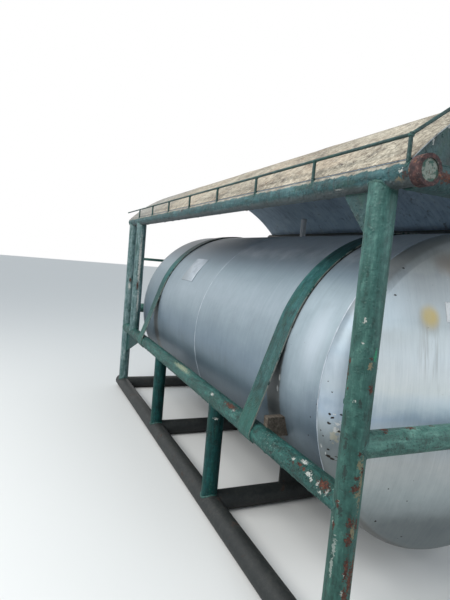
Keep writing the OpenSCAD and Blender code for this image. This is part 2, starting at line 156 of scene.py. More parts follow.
class Finish:
    # the nodes of one material, or of the world behind it all
    def __init__(self, name, holder=None):
        self.holder = holder or bpy.data.materials.new(name)
        self.holder.use_nodes = True
        self.tree = self.holder.node_tree
        self.tree.nodes.clear()
        self.colour = None
        self.place = None if holder else self.add("ShaderNodeTexCoord", output="Object")

    def add(self, kind, settings=None, values=None, output=0):
        node = self.tree.nodes.new(kind)
        for key, setting in (settings or {}).items():
            if key == "stops":
                ramp = node.color_ramp
                while len(ramp.elements) < len(setting):
                    ramp.elements.new(1.0)
                for element, (spot, *colour) in zip(ramp.elements, setting):
                    element.position = spot
                    element.color = (*colour, 1.0)
            else:
                setattr(node, key, setting)
        for key, value in (values or {}).items():
            socket = node.inputs[key]
            if isinstance(value, Wire):
                self.tree.links.new(value.socket, socket)
            else:
                socket.default_value = (*value, 1.0) if socket.type == "RGBA" else value
        return None if output is None else Wire(self, node.outputs[output])

    def axes(self, source=None):
        return self.add("ShaderNodeSeparateXYZ", None, {0: source or self.place})

    def facingUp(self):
        return self.axes(self.add("ShaderNodeNewGeometry", output="Normal"))["Z"]

    def stretch(self, scale, shift):
        values = {0: self.place, 1: scale, 2: shift}
        return self.add("ShaderNodeVectorMath", {"operation": "MULTIPLY_ADD"}, values)

    def noise(self, scale, detail=3.0, rough=0.55, place=None, swirl=0.0):
        values = {"Vector": place or self.place, "Scale": scale, "Detail": detail, "Roughness": rough}
        return self.add("ShaderNodeTexNoise", None, {**values, "Distortion": swirl})

    def grain(self, detail, rough, scale, shift=(0, 0, 0), swirl=0.0):
        # noise of its own scale along each axis
        return self.noise(1.0, detail, rough, self.stretch(scale, shift), swirl)

    def moved(self, shift):
        return self.stretch((1, 1, 1), shift)

    def cells(self, scale, place=None):
        values = {"Vector": place or self.place, "Scale": scale}
        return self.add("ShaderNodeTexVoronoi", None, values, "Distance")

    def step(self, value, low, high):
        return self.add("ShaderNodeMapRange", {"interpolation_type": "SMOOTHSTEP"},
                        {"Value": value, "From Min": low, "From Max": high})

    def ramp(self, value, stops):
        # each stop is a place on the ramp and a red, green and blue
        return self.add("ShaderNodeValToRGB", {"stops": stops}, {"Fac": value}, "Color")

    def blend(self, share, first, second, kind="MIX"):
        settings = {"data_type": "RGBA", "blend_type": kind}
        return self.add("ShaderNodeMix", settings, {0: share, 6: first, 7: second}, 2)

    def lay(self, share, colour):
        # another colour over what is there
        self.colour = self.blend(share, self.colour, colour)

    def tint(self, by, share=1.0):
        self.colour = self.blend(share, self.colour, by, "MULTIPLY")

    def spot(self, spot):
        # from a middle and a reach: 1 in the middle of the ellipsoid, 0 on its skin, below 0 outside
        middle, reach = spot[:3], spot[3:]
        away = self.add("ShaderNodeVectorMath", {"operation": "SUBTRACT"}, {0: self.place, 1: middle})
        scaled = self.add("ShaderNodeVectorMath", {"operation": "DIVIDE"}, {0: away, 1: reach})
        return 1 - self.add("ShaderNodeVectorMath", {"operation": "LENGTH"}, {0: scaled}, "Value")

    def spots(self, listed, floor=-1.0):
        total = self.spot(listed[0])
        for spot in listed[1:]:
            total = total.atLeast(self.spot(spot))
        return total.atLeast(floor)

    def bump(self, height, depth, strength, normal=None):
        values = {"Height": height, "Distance": depth, "Strength": strength}
        if normal is not None:
            values["Normal"] = normal
        return self.add("ShaderNodeBump", None, values, "Normal")

    def end(self, kind, surface):
        self.add(kind, None, {"Surface": surface}, None)
        return self.holder

    def close(self, rough, normal=None, more=None):
        values = {"Base Color": self.colour, "Roughness": rough, **(more or {})}
        if normal is not None:
            values["Normal"] = normal
        surface = self.add("ShaderNodeBsdfPrincipled", None, values, "BSDF")
        return self.end("ShaderNodeOutputMaterial", surface)


# the tank's dull silver, streaked round the shell and down the heads
tankLook = {
    "tones": [(0.36, 0.36, 0.425, 0.47), (0.5, 0.42, 0.49, 0.54), (0.64, 0.48, 0.55, 0.6)],
    # the heads' tones are the same steel painted lighter, a painted light
    "headTones": [(0.36, 0.44, 0.515, 0.57), (0.5, 0.51, 0.59, 0.645), (0.64, 0.57, 0.645, 0.7)],
    # painted shade and light by height, from the bottom of the ramp to the top: for the far shell, the near
    # shell and the heads
    "shade": [
        (0.0, 0.22, 0.23, 0.22), (0.31, 0.22, 0.265, 0.3), (0.41, 0.27, 0.33, 0.37),
        (0.5, 0.395, 0.465, 0.53), (0.6, 0.545, 0.605, 0.64), (0.69, 0.7, 0.74, 0.77),
        (0.77, 0.71, 0.76, 0.79), (0.815, 0.69, 0.75, 0.78), (0.855, 0.65, 0.69, 0.73),
        (0.92, 0.6, 0.61, 0.63), (1.0, 0.6, 0.58, 0.57)],
    "nearShade": [
        (0.0, 0.19, 0.21, 0.21), (0.3, 0.21, 0.26, 0.28), (0.38, 0.37, 0.42, 0.46),
        (0.44, 0.53, 0.59, 0.64), (0.51, 0.74, 0.79, 0.82), (0.6, 0.74, 0.79, 0.81),
        (0.7, 0.78, 0.84, 0.86), (0.76, 0.88, 0.93, 0.95), (0.8, 0.82, 0.88, 0.9), (0.84, 0.66, 0.73, 0.78),
        (0.92, 0.6, 0.62, 0.64), (1.0, 0.6, 0.58, 0.57)],
    "topLift": (2.65, 2.35, 2.2),
    "sideLift": (1.45, 1.5, 1.55),
    "headShade": [
        (0.0, 0.42, 0.42, 0.39), (0.1, 0.5, 0.49, 0.46), (0.145, 0.57, 0.55, 0.51),
        (0.19, 0.84, 0.81, 0.75), (0.24, 0.91, 0.88, 0.81), (0.34, 1.1, 0.99, 0.9), (0.43, 1.0, 0.98, 0.97),
        (0.475, 0.87, 0.93, 1.03), (0.515, 1.4, 1.31, 1.25), (0.56, 1.38, 1.27, 1.17),
        (0.6, 1.29, 1.2, 1.13), (0.645, 1.13, 1.08, 1.04), (0.69, 0.92, 0.89, 0.85),
        (0.73, 0.65, 0.64, 0.62), (0.775, 0.6, 0.59, 0.575), (0.82, 0.5, 0.49, 0.475),
        (0.86, 0.52, 0.5, 0.48), (0.9, 0.78, 0.72, 0.66), (1.0, 1.1, 1.0, 0.92)],
    "seamShadow": (0.62, 0.65, 0.69),
    "run": (0.13, 0.13, 0.13),
    "pit": (0.02, 0.015, 0.013),
    "speck": (0.62, 0.64, 0.64),
    "metal": 0.3,
    "rough": 0.42,
}


def makeTankSteel(name, streak, extra, head=False):
    finish = Finish(name)
    axes = finish.axes()
    height = axes["Z"] - tankZ
    wide = finish.grain(4.0, 0.6, streak)
    fine = finish.grain(3.0, 0.6, [4 * part for part in streak])
    blotch = finish.noise(2.6, 4.0, 0.55)
    cloud = finish.noise(11.0, 5.0, 0.62)
    tone = wide * 0.26 + fine * 0.16 + blotch * 0.30 + cloud * 0.28
    finish.colour = finish.ramp(tone, tankLook["headTones" if head else "tones"])
    # painted shade and light by height: darker under the roof and low down, and the near end's lower half
    # painted lighter
    level = height / (2 * tankRadius) + 0.5 + (blotch - 0.5) * 0.06 + (cloud - 0.5) * 0.04
    if head:
        # painted light: the sides are painted lighter than the middle, where the sky lights them more
        shade = finish.ramp(level, tankLook["headShade"])
        lit = finish.step(abs(axes["Y"]), 0.46, 0.68) * finish.step(level, 0.68, 0.74)
        shade = finish.blend(lit, shade, tankLook["sideLift"], "MULTIPLY")
    else:
        near = finish.step(axes["X"] + (blotch - 0.5) * 0.3, 1.25, 1.60)
        shade = finish.blend(near, *(finish.ramp(level, tankLook[key]) for key in ("shade", "nearShade")))
        # painted shade low down just inside the head seams, and painted light on the crown towards the near
        # end
        shadow = finish.step(abs(axes["X"]), 1.60, 1.82) * finish.step(level, 0.57, 0.47)
        shade = finish.blend(shadow, shade, tankLook["seamShadow"], "MULTIPLY")
        crown = finish.step(level, 0.865, 0.945) * finish.step(axes["X"] + (blotch - 0.5) * 0.5, -0.40, 0.35)
        shade = finish.blend(crown, shade, tankLook["topLift"], "MULTIPLY")
    finish.tint(shade)
    # thin runs of dirt, a few dark pits and pale specks
    run = finish.step(finish.grain(3.0, 0.65, [2.2 * part for part in streak], (7, 3, 1)), 0.58, 0.74)
    finish.lay(run * 0.10, tankLook["run"])
    pits = finish.step(finish.cells(46.0), 0.10, 0.055)
    pits = pits * finish.step(finish.noise(9.0, 2.0, 0.5, finish.moved((4, 9, 2))), 0.60, 0.66)
    specks = finish.step(finish.cells(60.0, finish.moved((3, 5, 8))), 0.12, 0.05)
    specks = specks * finish.step(finish.noise(5.0, 2.0, 0.5, finish.moved((9, 1, 5))), 0.54, 0.62) * 0.5
    pits, specks = extra(finish, axes, height, pits, specks)
    finish.lay(pits, tankLook["pit"])
    finish.lay(specks, tankLook["speck"])
    rough = tankLook["rough"] + (fine - 0.5) * 0.16 + (cloud - 0.5) * 0.14 + pits * 0.3 + specks * 0.1
    normal = finish.bump(finish.noise(1.7, 2.0, 0.4), 0.010, 0.30)
    normal = finish.bump(fine * 0.4 + cloud * 0.5 - pits + specks * 0.3, 0.0012, 0.40, normal)
    return finish.close(rough, normal, {"Metallic": tankLook["metal"]})


# places of marks on the shell, each as a middle and a reach in metres, and their colours
shellSpots = {
    "scratch": [(1.442, -0.914, 1.13, 0.01, 0.03, 0.03), (1.428, -0.912, 1.063, 0.01, 0.03, 0.026)],
    "pit": [
        (1.824, -0.914, 1.094, 0.007, 0.02, 0.006), (1.77, -0.9, 1.01, 0.006, 0.02, 0.005),
        (1.74, -0.88, 0.9, 0.006, 0.02, 0.005)],
    "sheen": [(1.69, -0.87, 1.4, 0.15, 0.25, 0.3)],
}
shellLook = {
    "behind": (0.105, 0.106, 0.103),
    "stuck": (0.085, 0.08, 0.072),
    "weep": (0.22, 0.14, 0.085),
    "seam": (0.1, 0.11, 0.12),
    "sheen": (0.6, 0.68, 0.76),
}


def strapDistance(axes):
    near, far = (abs(axes["X"] - x) for x in strapXs)
    return near.upTo(far)


def shellMarks(finish, axes, height, pits, specks):
    # painted shadow, browned as by dirt, on the shell under the straps where they leave the tank, a painted
    # shadow line along the straps' edges, and rusty weeps round the seams
    ragged = finish.noise(22.0, 4.0, 0.65) - 0.5
    near = strapDistance(axes)
    behind = finish.step(near + ragged * 0.030, 0.088, 0.066)
    behind = behind * finish.step(height + ragged * 0.06, 0.27, 0.14) * finish.step(height, -0.75, -0.60)
    finish.lay(behind * 0.86, shellLook["behind"])
    # painted shadow: a thin dark line along each strap's edge where it lies on the tank
    stuck = finish.step(near + ragged * 0.010, 0.088, 0.080) * finish.step(height, 0.26, 0.32)
    finish.lay(stuck * 0.55, shellLook["stuck"])
    weep = finish.step(finish.grain(3.0, 0.6, (34, 1.1, 1.1), (2, 2, 2)), 0.64, 0.80)
    finish.lay(weep * 0.12, shellLook["weep"])
    # a thin dark line along one side of the middle seam
    seam = finish.step(abs(axes["X"]), 0.016, 0.004) * finish.step(axes["X"], 0.000, -0.006)
    finish.lay(seam * 0.35, shellLook["seam"])
    # painted highlight: a pale bluish patch on the near shell
    sheen = finish.step(finish.spots(shellSpots["sheen"], 0.0), 0.0, 0.9)
    finish.lay(sheen * 0.55, shellLook["sheen"])
    scratch = finish.step(finish.spots(shellSpots["scratch"]) + ragged * 2.6, 0.10, 0.40)
    dark = finish.step(finish.spots(shellSpots["pit"]) + ragged * 0.8, 0.05, 0.35)
    return (pits + dark).upTo(1.0), (specks + scratch).upTo(1.0)


# places of marks on the near head, and their colours
headSpots = {
    "stain": [(2.04, -0.46, 1.585, 0.4, 0.054, 0.063)],
    "halo": [(2.04, -0.47, 1.56, 0.4, 0.075, 0.095)],
    "runs": [(2.04, -0.462, 1.43, 0.4, 0.085, 0.2), (2.0, -0.25, 1.5, 0.4, 0.12, 0.32)],
    "cloud": [
        (2.0, -0.3, 1.86, 0.5, 0.13, 0.085), (2.0, -0.1, 1.8, 0.5, 0.24, 0.12),
        (2.0, 0.35, 1.82, 0.5, 0.3, 0.12)],
    "band": [(2.05, -0.1, 1.15, 0.6, 1.2, 0.085)],
    "pit": [
        (1.881, -0.904, 1.228, 0.009, 0.02, 0.006), (1.908, -0.895, 1.182, 0.006, 0.02, 0.004),
        (1.909, -0.895, 1.072, 0.011, 0.02, 0.006), (1.921, -0.885, 1.057, 0.013, 0.02, 0.007),
        (1.905, -0.894, 1.026, 0.019, 0.02, 0.011), (1.945, -0.857, 1.079, 0.008, 0.02, 0.007),
        (1.94, -0.857, 0.995, 0.012, 0.02, 0.01), (1.861, -0.901, 0.973, 0.008, 0.02, 0.006),
        (1.874, -0.894, 0.95, 0.007, 0.02, 0.006), (1.91, -0.876, 0.938, 0.006, 0.02, 0.005),
        (1.896, -0.871, 0.887, 0.01, 0.02, 0.007), (1.89, -0.863, 0.851, 0.018, 0.02, 0.01),
        (1.908, -0.851, 0.841, 0.018, 0.02, 0.009), (1.931, -0.839, 0.859, 0.03, 0.02, 0.004),
        (1.926, -0.836, 0.838, 0.022, 0.02, 0.004), (1.956, -0.621, 1.677, 0.03, 0.01, 0.006),
        (1.926, -0.555, 1.813, 0.02, 0.008, 0.006), (1.951, -0.565, 0.498, 0.02, 0.008, 0.006),
        (2.034, -0.448, 0.635, 0.02, 0.006, 0.005), (2.017, -0.568, 0.706, 0.02, 0.007, 0.005),
        (1.962, -0.392, 0.376, 0.03, 0.01, 0.007), (1.962, -0.378, 0.388, 0.03, 0.012, 0.007)],
    "bare": [
        (1.928, -0.88, 1.076, 0.01, 0.03, 0.006), (1.94, -0.861, 1.029, 0.02, 0.03, 0.018),
        (1.931, -0.87, 1.002, 0.024, 0.03, 0.014), (1.854, -0.881, 0.89, 0.007, 0.03, 0.018),
        (1.878, -0.87, 0.862, 0.006, 0.03, 0.01), (2.114, -0.391, 1.216, 0.02, 0.007, 0.008)],
    "cream": [(1.923, -0.868, 0.962, 0.02, 0.03, 0.03), (1.933, -0.862, 0.998, 0.02, 0.03, 0.022)],
}
headLook = {
    "band": (0.47, 0.63, 0.8),
    "knuckle": (0.16, 0.148, 0.134),
    "lowKnuckle": (0.11, 0.095, 0.08),
    "cloud": (0.22, 0.175, 0.135),
    "halo": (0.2, 0.2, 0.18),
    "runs": (0.2, 0.2, 0.19),
    "stain": (0.4, 0.31, 0.105),
    "scuff": (0.14, 0.15, 0.16),
    "cream": (0.5, 0.47, 0.36),
    # painted shade on the sides: where across they start and end, where in height, and their tint
    "sides": [
        {"across": (0.68, 0.86), "heights": [(0.06, -0.32)], "tint": (0.38, 0.42, 0.44)},
        {"across": (0.70, 0.86), "heights": [(0.28, 0.18), (-0.07, 0.02)], "tint": (0.60, 0.66, 0.73)},
        {"across": (0.72, 0.82), "heights": [(0.54, 0.40), (0.18, 0.26)], "tint": (0.62, 0.69, 0.76)},
    ],
}


def headMarks(finish, axes, height, pits, specks):
    # the knuckle painted dark, above as a painted reflection of the dark roof and below as painted shade,
    # painted shade on the sides, a round yellow stain, a brown cloud above it, a bluish band and named pits
    ragged = finish.noise(60.0, 4.0, 0.65) - 0.5
    drift = finish.noise(9.0, 3.0, 0.6)
    smear = finish.grain(4.0, 0.6, (9, 12, 2.5))
    band = finish.step(finish.spots(headSpots["band"]) + (drift - 0.5) * 0.25, 0.0, 0.8)
    finish.lay(band * 0.24, headLook["band"])
    fromAxis = (axes["Y"] * axes["Y"] + height * height) ** 0.5
    # the knuckle's band: its top gets a painted reflection of the dark roof, its bottom painted shade
    knuckle = finish.step(fromAxis + ragged * 0.006, 0.876, 0.894)
    finish.lay(knuckle * finish.step(height, 0.20, 0.55) * 0.46, headLook["knuckle"])
    # painted shade on the head's sides
    for side in headLook["sides"]:
        share = finish.step(abs(axes["Y"]), *side["across"])
        for limits in side["heights"]:
            share = share * finish.step(height, *limits)
        finish.tint(side["tint"], share)
    finish.lay(knuckle * finish.step(height, -0.45, -0.70) * 0.55, headLook["lowKnuckle"])
    cloudy = finish.step(finish.spots(headSpots["cloud"]) + (smear - 0.5) * 0.9, 0.0, 0.75)
    finish.lay(cloudy * 0.60, headLook["cloud"])
    halo = finish.step(finish.spots(headSpots["halo"]) + (smear - 0.5) * 0.8, 0.0, 0.6)
    finish.lay(halo * 0.42, headLook["halo"])
    runs = finish.step(finish.grain(4.0, 0.6, (9, 64, 2.4), (1, 5, 2)), 0.46, 0.60)
    runs = runs * finish.step(finish.spots(headSpots["runs"], 0.0), 0.0, 0.6)
    finish.lay(runs * 0.34, headLook["runs"])
    stain = finish.step(finish.spots(headSpots["stain"]) + (drift - 0.5) * 0.30, -0.22, 0.72)
    finish.lay(stain * (0.84 + (smear - 0.5) * 0.6), headLook["stain"])
    scuff = finish.step(finish.grain(4.0, 0.7, (8, 52, 5), (2, 3, 1)), 0.64, 0.72)
    finish.lay(scuff * 0.22, headLook["scuff"])
    cream = finish.step(finish.spots(headSpots["cream"]) + ragged * 4.0, 0.15, 0.35)
    finish.lay(cream * 0.7, headLook["cream"])
    bare = finish.step(finish.spots(headSpots["bare"]) + ragged * 4.4, 0.30, 0.45)
    dark = finish.step(finish.spots(headSpots["pit"]) + ragged * 2.8, 0.30, 0.50)
    return (pits + dark).upTo(1.0), (specks + bare).upTo(1.0)


# the frame's brushed-on green paint, chipped to primer and rust
paintLook = {
    "tones": [
        (0.42, 0.014, 0.054, 0.047), (0.47, 0.034, 0.103, 0.093), (0.53, 0.056, 0.142, 0.128),
        (0.6, 0.12, 0.232, 0.206)],
    "dab": (0.009, 0.058, 0.046),
    "hole": (0.008, 0.022, 0.022),
    "glint": (0.26, 0.37, 0.33),
    "primer": (0.5, 0.52, 0.47),
    "rustTones": [(0.3, 0.026, 0.012, 0.01), (0.5, 0.085, 0.03, 0.022), (0.72, 0.2, 0.08, 0.045)],
    "marks": {
        "tan": (0.26, 0.2, 0.115), "cream": (0.36, 0.4, 0.27), "white": (0.64, 0.65, 0.61),
        "grey": (0.33, 0.375, 0.355), "fresh": (0.02, 0.27, 0.13), "dark": (0.01, 0.022, 0.02)},
    "rough": 0.5,
}

# places of chips and touches on the paint, each as a middle and a reach in metres
railSpots = {
    "rust": [
        (1.095, -1.045, 0.853, 0.09, 0.03, 0.013), (1.936, -1.056, 0.845, 0.03, 0.02, 0.01),
        (1.979, -1.059, 0.842, 0.018, 0.02, 0.008), (2.132, -1.06, 0.842, 0.046, 0.03, 0.024),
        (1.89, -1.066, 0.835, 0.01, 0.02, 0.006)],
    "cream": [(0.11, -1.044, 0.854, 0.19, 0.03, 0.018)],
    "white": [
        (0.822, -1.056, 0.845, 0.026, 0.02, 0.009), (1.165, -1.052, 0.849, 0.022, 0.02, 0.007),
        (1.877, -1.055, 0.846, 0.014, 0.02, 0.007), (1.945, -1.036, 0.857, 0.028, 0.02, 0.008),
        (2.021, -1.062, 0.84, 0.02, 0.02, 0.012), (2.05, -1.068, 0.828, 0.01, 0.02, 0.01),
        (2.1, -1.066, 0.834, 0.014, 0.03, 0.02), (2.166, -1.067, 0.832, 0.012, 0.03, 0.018),
        (2.128, -1.074, 0.812, 0.018, 0.02, 0.01)],
}
postSpots = {
    "rust": [
        (2.296, -1.026, 1.437, 0.01, 0.007, 0.007), (2.223, -1.072, 1.416, 0.009, 0.01, 0.02),
        (2.219, -1.071, 1.363, 0.009, 0.01, 0.034), (2.233, -1.074, 1.301, 0.007, 0.01, 0.01),
        (2.296, -1.012, 1.312, 0.015, 0.015, 0.02), (2.296, -1.027, 1.046, 0.01, 0.011, 0.012),
        (2.295, -1.004, 0.973, 0.01, 0.007, 0.02), (2.296, -1.03, 0.947, 0.01, 0.014, 0.01),
        (2.295, -1.032, 0.903, 0.015, 0.026, 0.02), (2.294, -1.036, 0.757, 0.015, 0.018, 0.028),
        (2.295, -1.005, 0.744, 0.01, 0.008, 0.03), (2.294, -1.036, 0.684, 0.015, 0.018, 0.034),
        (2.292, -0.995, 0.55, 0.012, 0.009, 0.11), (2.247, -1.074, 0.823, 0.01, 0.01, 0.018),
        (2.24, -1.075, 0.727, 0.009, 0.01, 0.026), (2.295, -1.03, 0.56, 0.01, 0.014, 0.06),
        (2.295, -1.008, 0.5, 0.01, 0.014, 0.08), (2.296, -1.024, 0.44, 0.01, 0.016, 0.04)],
    "tan": [
        (2.296, -1.028, 1.407, 0.01, 0.013, 0.018), (2.296, -1.008, 0.93, 0.01, 0.01, 0.12),
        (2.296, -1.023, 1.001, 0.01, 0.015, 0.024), (2.296, -1.021, 0.877, 0.01, 0.013, 0.014),
        (2.294, -1.022, 0.72, 0.015, 0.014, 0.05)],
    "white": [
        (2.275, -1.063, 1.584, 0.009, 0.01, 0.013), (2.276, -1.062, 1.495, 0.006, 0.006, 0.006),
        (2.269, -1.066, 1.258, 0.007, 0.007, 0.007), (2.294, -1.033, 0.535, 0.006, 0.008, 0.012),
        (2.294, -1.035, 0.452, 0.006, 0.008, 0.018), (2.235, -1.075, 0.735, 0.008, 0.006, 0.02),
        (2.25, -1.073, 0.832, 0.008, 0.006, 0.01), (2.294, -1.037, 0.535, 0.006, 0.007, 0.016)],
    "grey": [(2.256, -1.072, 0.64, 0.01, 0.01, 0.05), (2.252, -1.073, 0.55, 0.008, 0.01, 0.05)],
    "fresh": [(2.296, -1.009, 1.452, 0.01, 0.01, 0.034)],
    "dark": [
        (2.288, -1.047, 1.255, 0.01, 0.008, 0.022), (2.255, -1.072, 1.078, 0.01, 0.01, 0.045),
        (2.295, -1.002, 1.084, 0.01, 0.009, 0.018), (2.264, -1.069, 0.966, 0.012, 0.01, 0.04),
        (2.262, -1.07, 0.8, 0.012, 0.012, 0.03)],
}
farPostSpots = {
    "white": [
        (-1.773, -1.022, 1.65, 0.03, 0.016, 0.34), (-1.774, -1.014, 1.2, 0.03, 0.012, 0.16),
        (-2.186, -1.036, 1.339, 0.02, 0.016, 0.04), (-2.187, -1.0, 1.06, 0.02, 0.014, 0.024)],
    "rust": [(-1.772, -1.03, 1.38, 0.03, 0.014, 0.05), (-2.186, -1.03, 1.42, 0.02, 0.016, 0.03)],
}
legSpots = {"white": [(0.88, -1.04, 0.69, 0.02, 0.016, 0.01)]}
eaveSpots = {
    "rust": [(-0.17, -1.067, 2.161, 0.03, 0.02, 0.007), (2.395, -1.066, 2.135, 0.02, 0.02, 0.014)],
    "tan": [(2.37, -1.064, 2.12, 0.03, 0.02, 0.012)],
    "white": [
        (-0.215, -1.067, 2.164, 0.022, 0.02, 0.006), (2.004, -1.06, 2.121, 0.035, 0.02, 0.0035),
        (2.38, -1.068, 2.15, 0.012, 0.02, 0.01)],
}
endSpots = {
    "rust": [
        (2.235, -0.865, 1.117, 0.02, 0.022, 0.006), (2.262, -0.872, 1.112, 0.014, 0.01, 0.006),
        (2.243, -0.72, 1.117, 0.015, 0.026, 0.005), (2.24, -0.59, 1.117, 0.01, 0.014, 0.005)],
    "dark": [(2.29, -0.6, 1.04, 0.014, 0.03, 0.007), (2.29, -0.78, 1.09, 0.01, 0.008, 0.006)],
}
strapSpots = {
    "dark": [(1.34, -1.02, 0.94, 0.03, 0.08, 0.02), (1.4, -1.01, 0.985, 0.018, 0.08, 0.014)],
}
gableSpots = {
    "rust": [(2.405, -0.88, 2.15, 0.02, 0.05, 0.022), (2.4, -0.95, 2.18, 0.02, 0.03, 0.016)],
    "white": [(2.363, -0.908, 2.287, 0.02, 0.006, 0.014), (2.363, -0.826, 2.352, 0.02, 0.016, 0.014)],
}


def makeFramePaint(name, grain, shade, chips, lumps, gloss=0.5, marks=None, extra=None):
    finish = Finish(name)
    axes = finish.axes()
    brush = finish.grain(5.0, 0.64, grain)
    mottle = finish.noise(21.0, 5.0, 0.68)
    blotch = finish.noise(3.1, 3.0, 0.5)
    ragged = finish.noise(115.0, 4.0, 0.65) - 0.5
    finish.colour = finish.ramp(brush * 0.40 + mottle * 0.36 + blotch * 0.24, paintLook["tones"])
    # painted light and shade: each piece's tint
    finish.tint(shade)
    # darker strokes of a later coat and small dark holes
    stroke = finish.step(finish.grain(5.0, 0.66, [part * 0.42 for part in grain], (3, 8, 5)), 0.54, 0.60)
    finish.lay(stroke * 0.60, paintLook["dab"])
    holes = finish.step(finish.cells(62.0) + ragged * 0.3, 0.34, 0.20)
    holes = holes * finish.step(finish.noise(8.0, 3.0), 0.49, 0.57)
    finish.lay(holes * (lumps * lumps * 0.34), paintLook["hole"])
    # painted highlights on the paint's lumps
    paintedGlints = finish.step(finish.cells(70.0, finish.moved((4, 2, 7))) + ragged * 0.3, 0.26, 0.14)
    paintedGlints = paintedGlints * finish.step(finish.noise(7.0, 2.0, 0.5, finish.moved((5, 5, 1))), 0.50, 0.60)
    finish.lay(paintedGlints * (0.30 * lumps), paintLook["glint"])
    # chips: primer at the rim, rust in the middle
    field = finish.noise(9.5, 6.0, 0.70) * 0.66 + finish.noise(58.0, 3.0, 0.6) * 0.34
    primer = finish.step(field, chips, chips + 0.010)
    rust = finish.step(field, chips + 0.010, chips + 0.022)
    rustColour = finish.ramp(finish.noise(75.0, 5.0, 0.7), paintLook["rustTones"])
    finish.lay(primer * 0.8, paintLook["primer"])
    for kind, places in (marks or {}).items():
        cover = finish.step(finish.spots(places) + ragged * 4.2 - 0.05, 0.12, 0.28)
        if kind == "rust":
            rust = (rust + cover).upTo(1.0)
        else:
            finish.lay(cover * 0.80, paintLook["marks"][kind])
            primer = (primer + cover).upTo(1.0) if kind == "white" else primer
    finish.lay(rust, rustColour)
    if extra is not None:
        extra(finish, axes, mottle, brush)
    rough = paintLook["rough"] + (mottle - 0.5) * 0.3 + rust * 0.34 + primer * 0.08
    knobs = finish.step(finish.cells(54.0), 0.42, 0.10) * finish.step(finish.noise(7.0, 2.0), 0.44, 0.58)
    relief = (finish.noise(34.0, 5.0, 0.66) * 1.6 + knobs * 0.6) * lumps + brush * 0.5
    relief = relief - primer * 0.20 - rust * 0.35 - holes * (0.4 * lumps)
    return finish.close(rough, finish.bump(relief, 0.0065, 0.9), {"Specular IOR Level": gloss})


# what the eave pipes carry besides their paint
eaveLook = {
    "drips": (0.026, 0.044, 0.048),
    "pale": (0.24, 0.27, 0.25),
    "roofTones": ((0.215, 0.19, 0.15), (0.46, 0.425, 0.35)),
    "gap": (0.045, 0.042, 0.04),
    "belly": (0.145, 0.155, 0.158),
}


def eaveGrime(finish, axes, mottle, brush):
    # roof paint that ran onto the eave pipe below the sheets, grey drips under it, a painted shadow under the
    # sheets' edge and a brown belly
    rise = axes["Z"] - eaveZ
    lean = (abs(axes["Y"]) - halfWidth).math("ARCTAN2", rise)
    ragged = finish.grain(5.0, 0.7, (26, 9, 9)) - 0.5
    drips = finish.step(finish.grain(4.0, 0.7, (48, 4, 4), (5, 1, 2)), 0.50, 0.66)
    drips = drips * finish.step(lean, 0.95, 1.35)
    finish.lay(drips * 0.72, eaveLook["drips"])
    pale = finish.step(finish.grain(4.0, 0.7, (60, 5, 5), (1, 7, 2)), 0.58, 0.70)
    pale = pale * finish.step(lean, 2.1, 1.2)
    finish.lay(pale * 0.35, eaveLook["pale"])
    strip = finish.step(lean + ragged * 1.1, 1.12, 1.00)
    roofTone = finish.blend(finish.step(mottle, 0.40, 0.62), *eaveLook["roofTones"])
    finish.lay(strip * 0.94, roofTone)
    # painted shadow on the pipe just under the sheets' edge
    finish.lay(finish.step(lean + ragged * 0.05, 0.72, 0.66) * 0.85, eaveLook["gap"])
    belly = finish.step(ragged * 0.03 - rise, 0.018, 0.044)
    finish.lay(belly * 0.75, eaveLook["belly"])


# the posts' painted light and shade from the floor up to 2.2 m
postShadeTones = [
    (0.10, 1.10, 1.12, 1.05), (0.30, 0.96, 0.98, 0.96), (0.42, 0.78, 0.88, 0.86),
    (0.56, 0.90, 0.95, 0.94), (0.72, 1.00, 1.00, 1.00), (0.86, 1.24, 1.20, 1.24)]


def postPaintedShade(finish, axes, mottle, brush):
    # painted light and shade: the posts are painted paler under the eave and darker beside the rails
    finish.tint(finish.ramp(axes["Z"] / 2.2 + (brush - 0.5) * 0.05, postShadeTones))


# the strap's darker green towards the bottom, its painted light on the upper shell and the painted highlight
# on its cut edges
strapLook = {
    "low": (0.02, 0.13, 0.095),
    "bright": (1.1, 1.38, 1.42),
    "edge": (0.3, 0.305, 0.27),
    "edgeWidth": 0.0012,
}


def strapEdges(finish, axes, mottle, brush):
    # painted highlight: the belts' cut edges are painted pale where they catch the light; the strap is
    # painted darker green towards the bottom and painted lighter where it lies on the upper shell
    edge = sizes["strapWidth"] / 2
    worn = finish.step(strapDistance(axes), edge - strapLook["edgeWidth"], edge - strapLook["edgeWidth"] / 3)
    worn = worn * finish.step(mottle, 0.36, 0.52)
    low = finish.step(axes["Z"] + (brush - 0.5) * 0.2, 1.08, 0.90)
    finish.lay(low * 0.40, strapLook["low"])
    bright = finish.step(axes["Z"], 1.34, 1.52) * finish.step(axes["Z"], 1.86, 1.70)
    finish.tint(strapLook["bright"], bright)
    finish.lay(worn * 0.90, strapLook["edge"])


# the roof's faded beige paint, pebbled and flaking on top; underneath, a blue-grey that is painted shade
roofLook = {
    "tones": [
        (0.43, 0.14, 0.114, 0.086), (0.48, 0.37, 0.328, 0.255), (0.53, 0.5, 0.45, 0.352),
        (0.59, 0.76, 0.7, 0.58)],
    "flake": (0.66, 0.64, 0.58),
    "bare": (0.085, 0.055, 0.042),
    "scratch": (0.19, 0.145, 0.11),
    "lip": (0.04, 0.036, 0.033),
    "underRust": (0.12, 0.085, 0.065),
    "warm": (0.5, 0.33, 0.215),
    "far": (0.3, 0.31, 0.31),
    # painted shade of the underside
    "under": [(0.38, 0.42, 0.53, 0.65), (0.5, 0.54, 0.66, 0.78), (0.62, 0.64, 0.76, 0.86)],
}


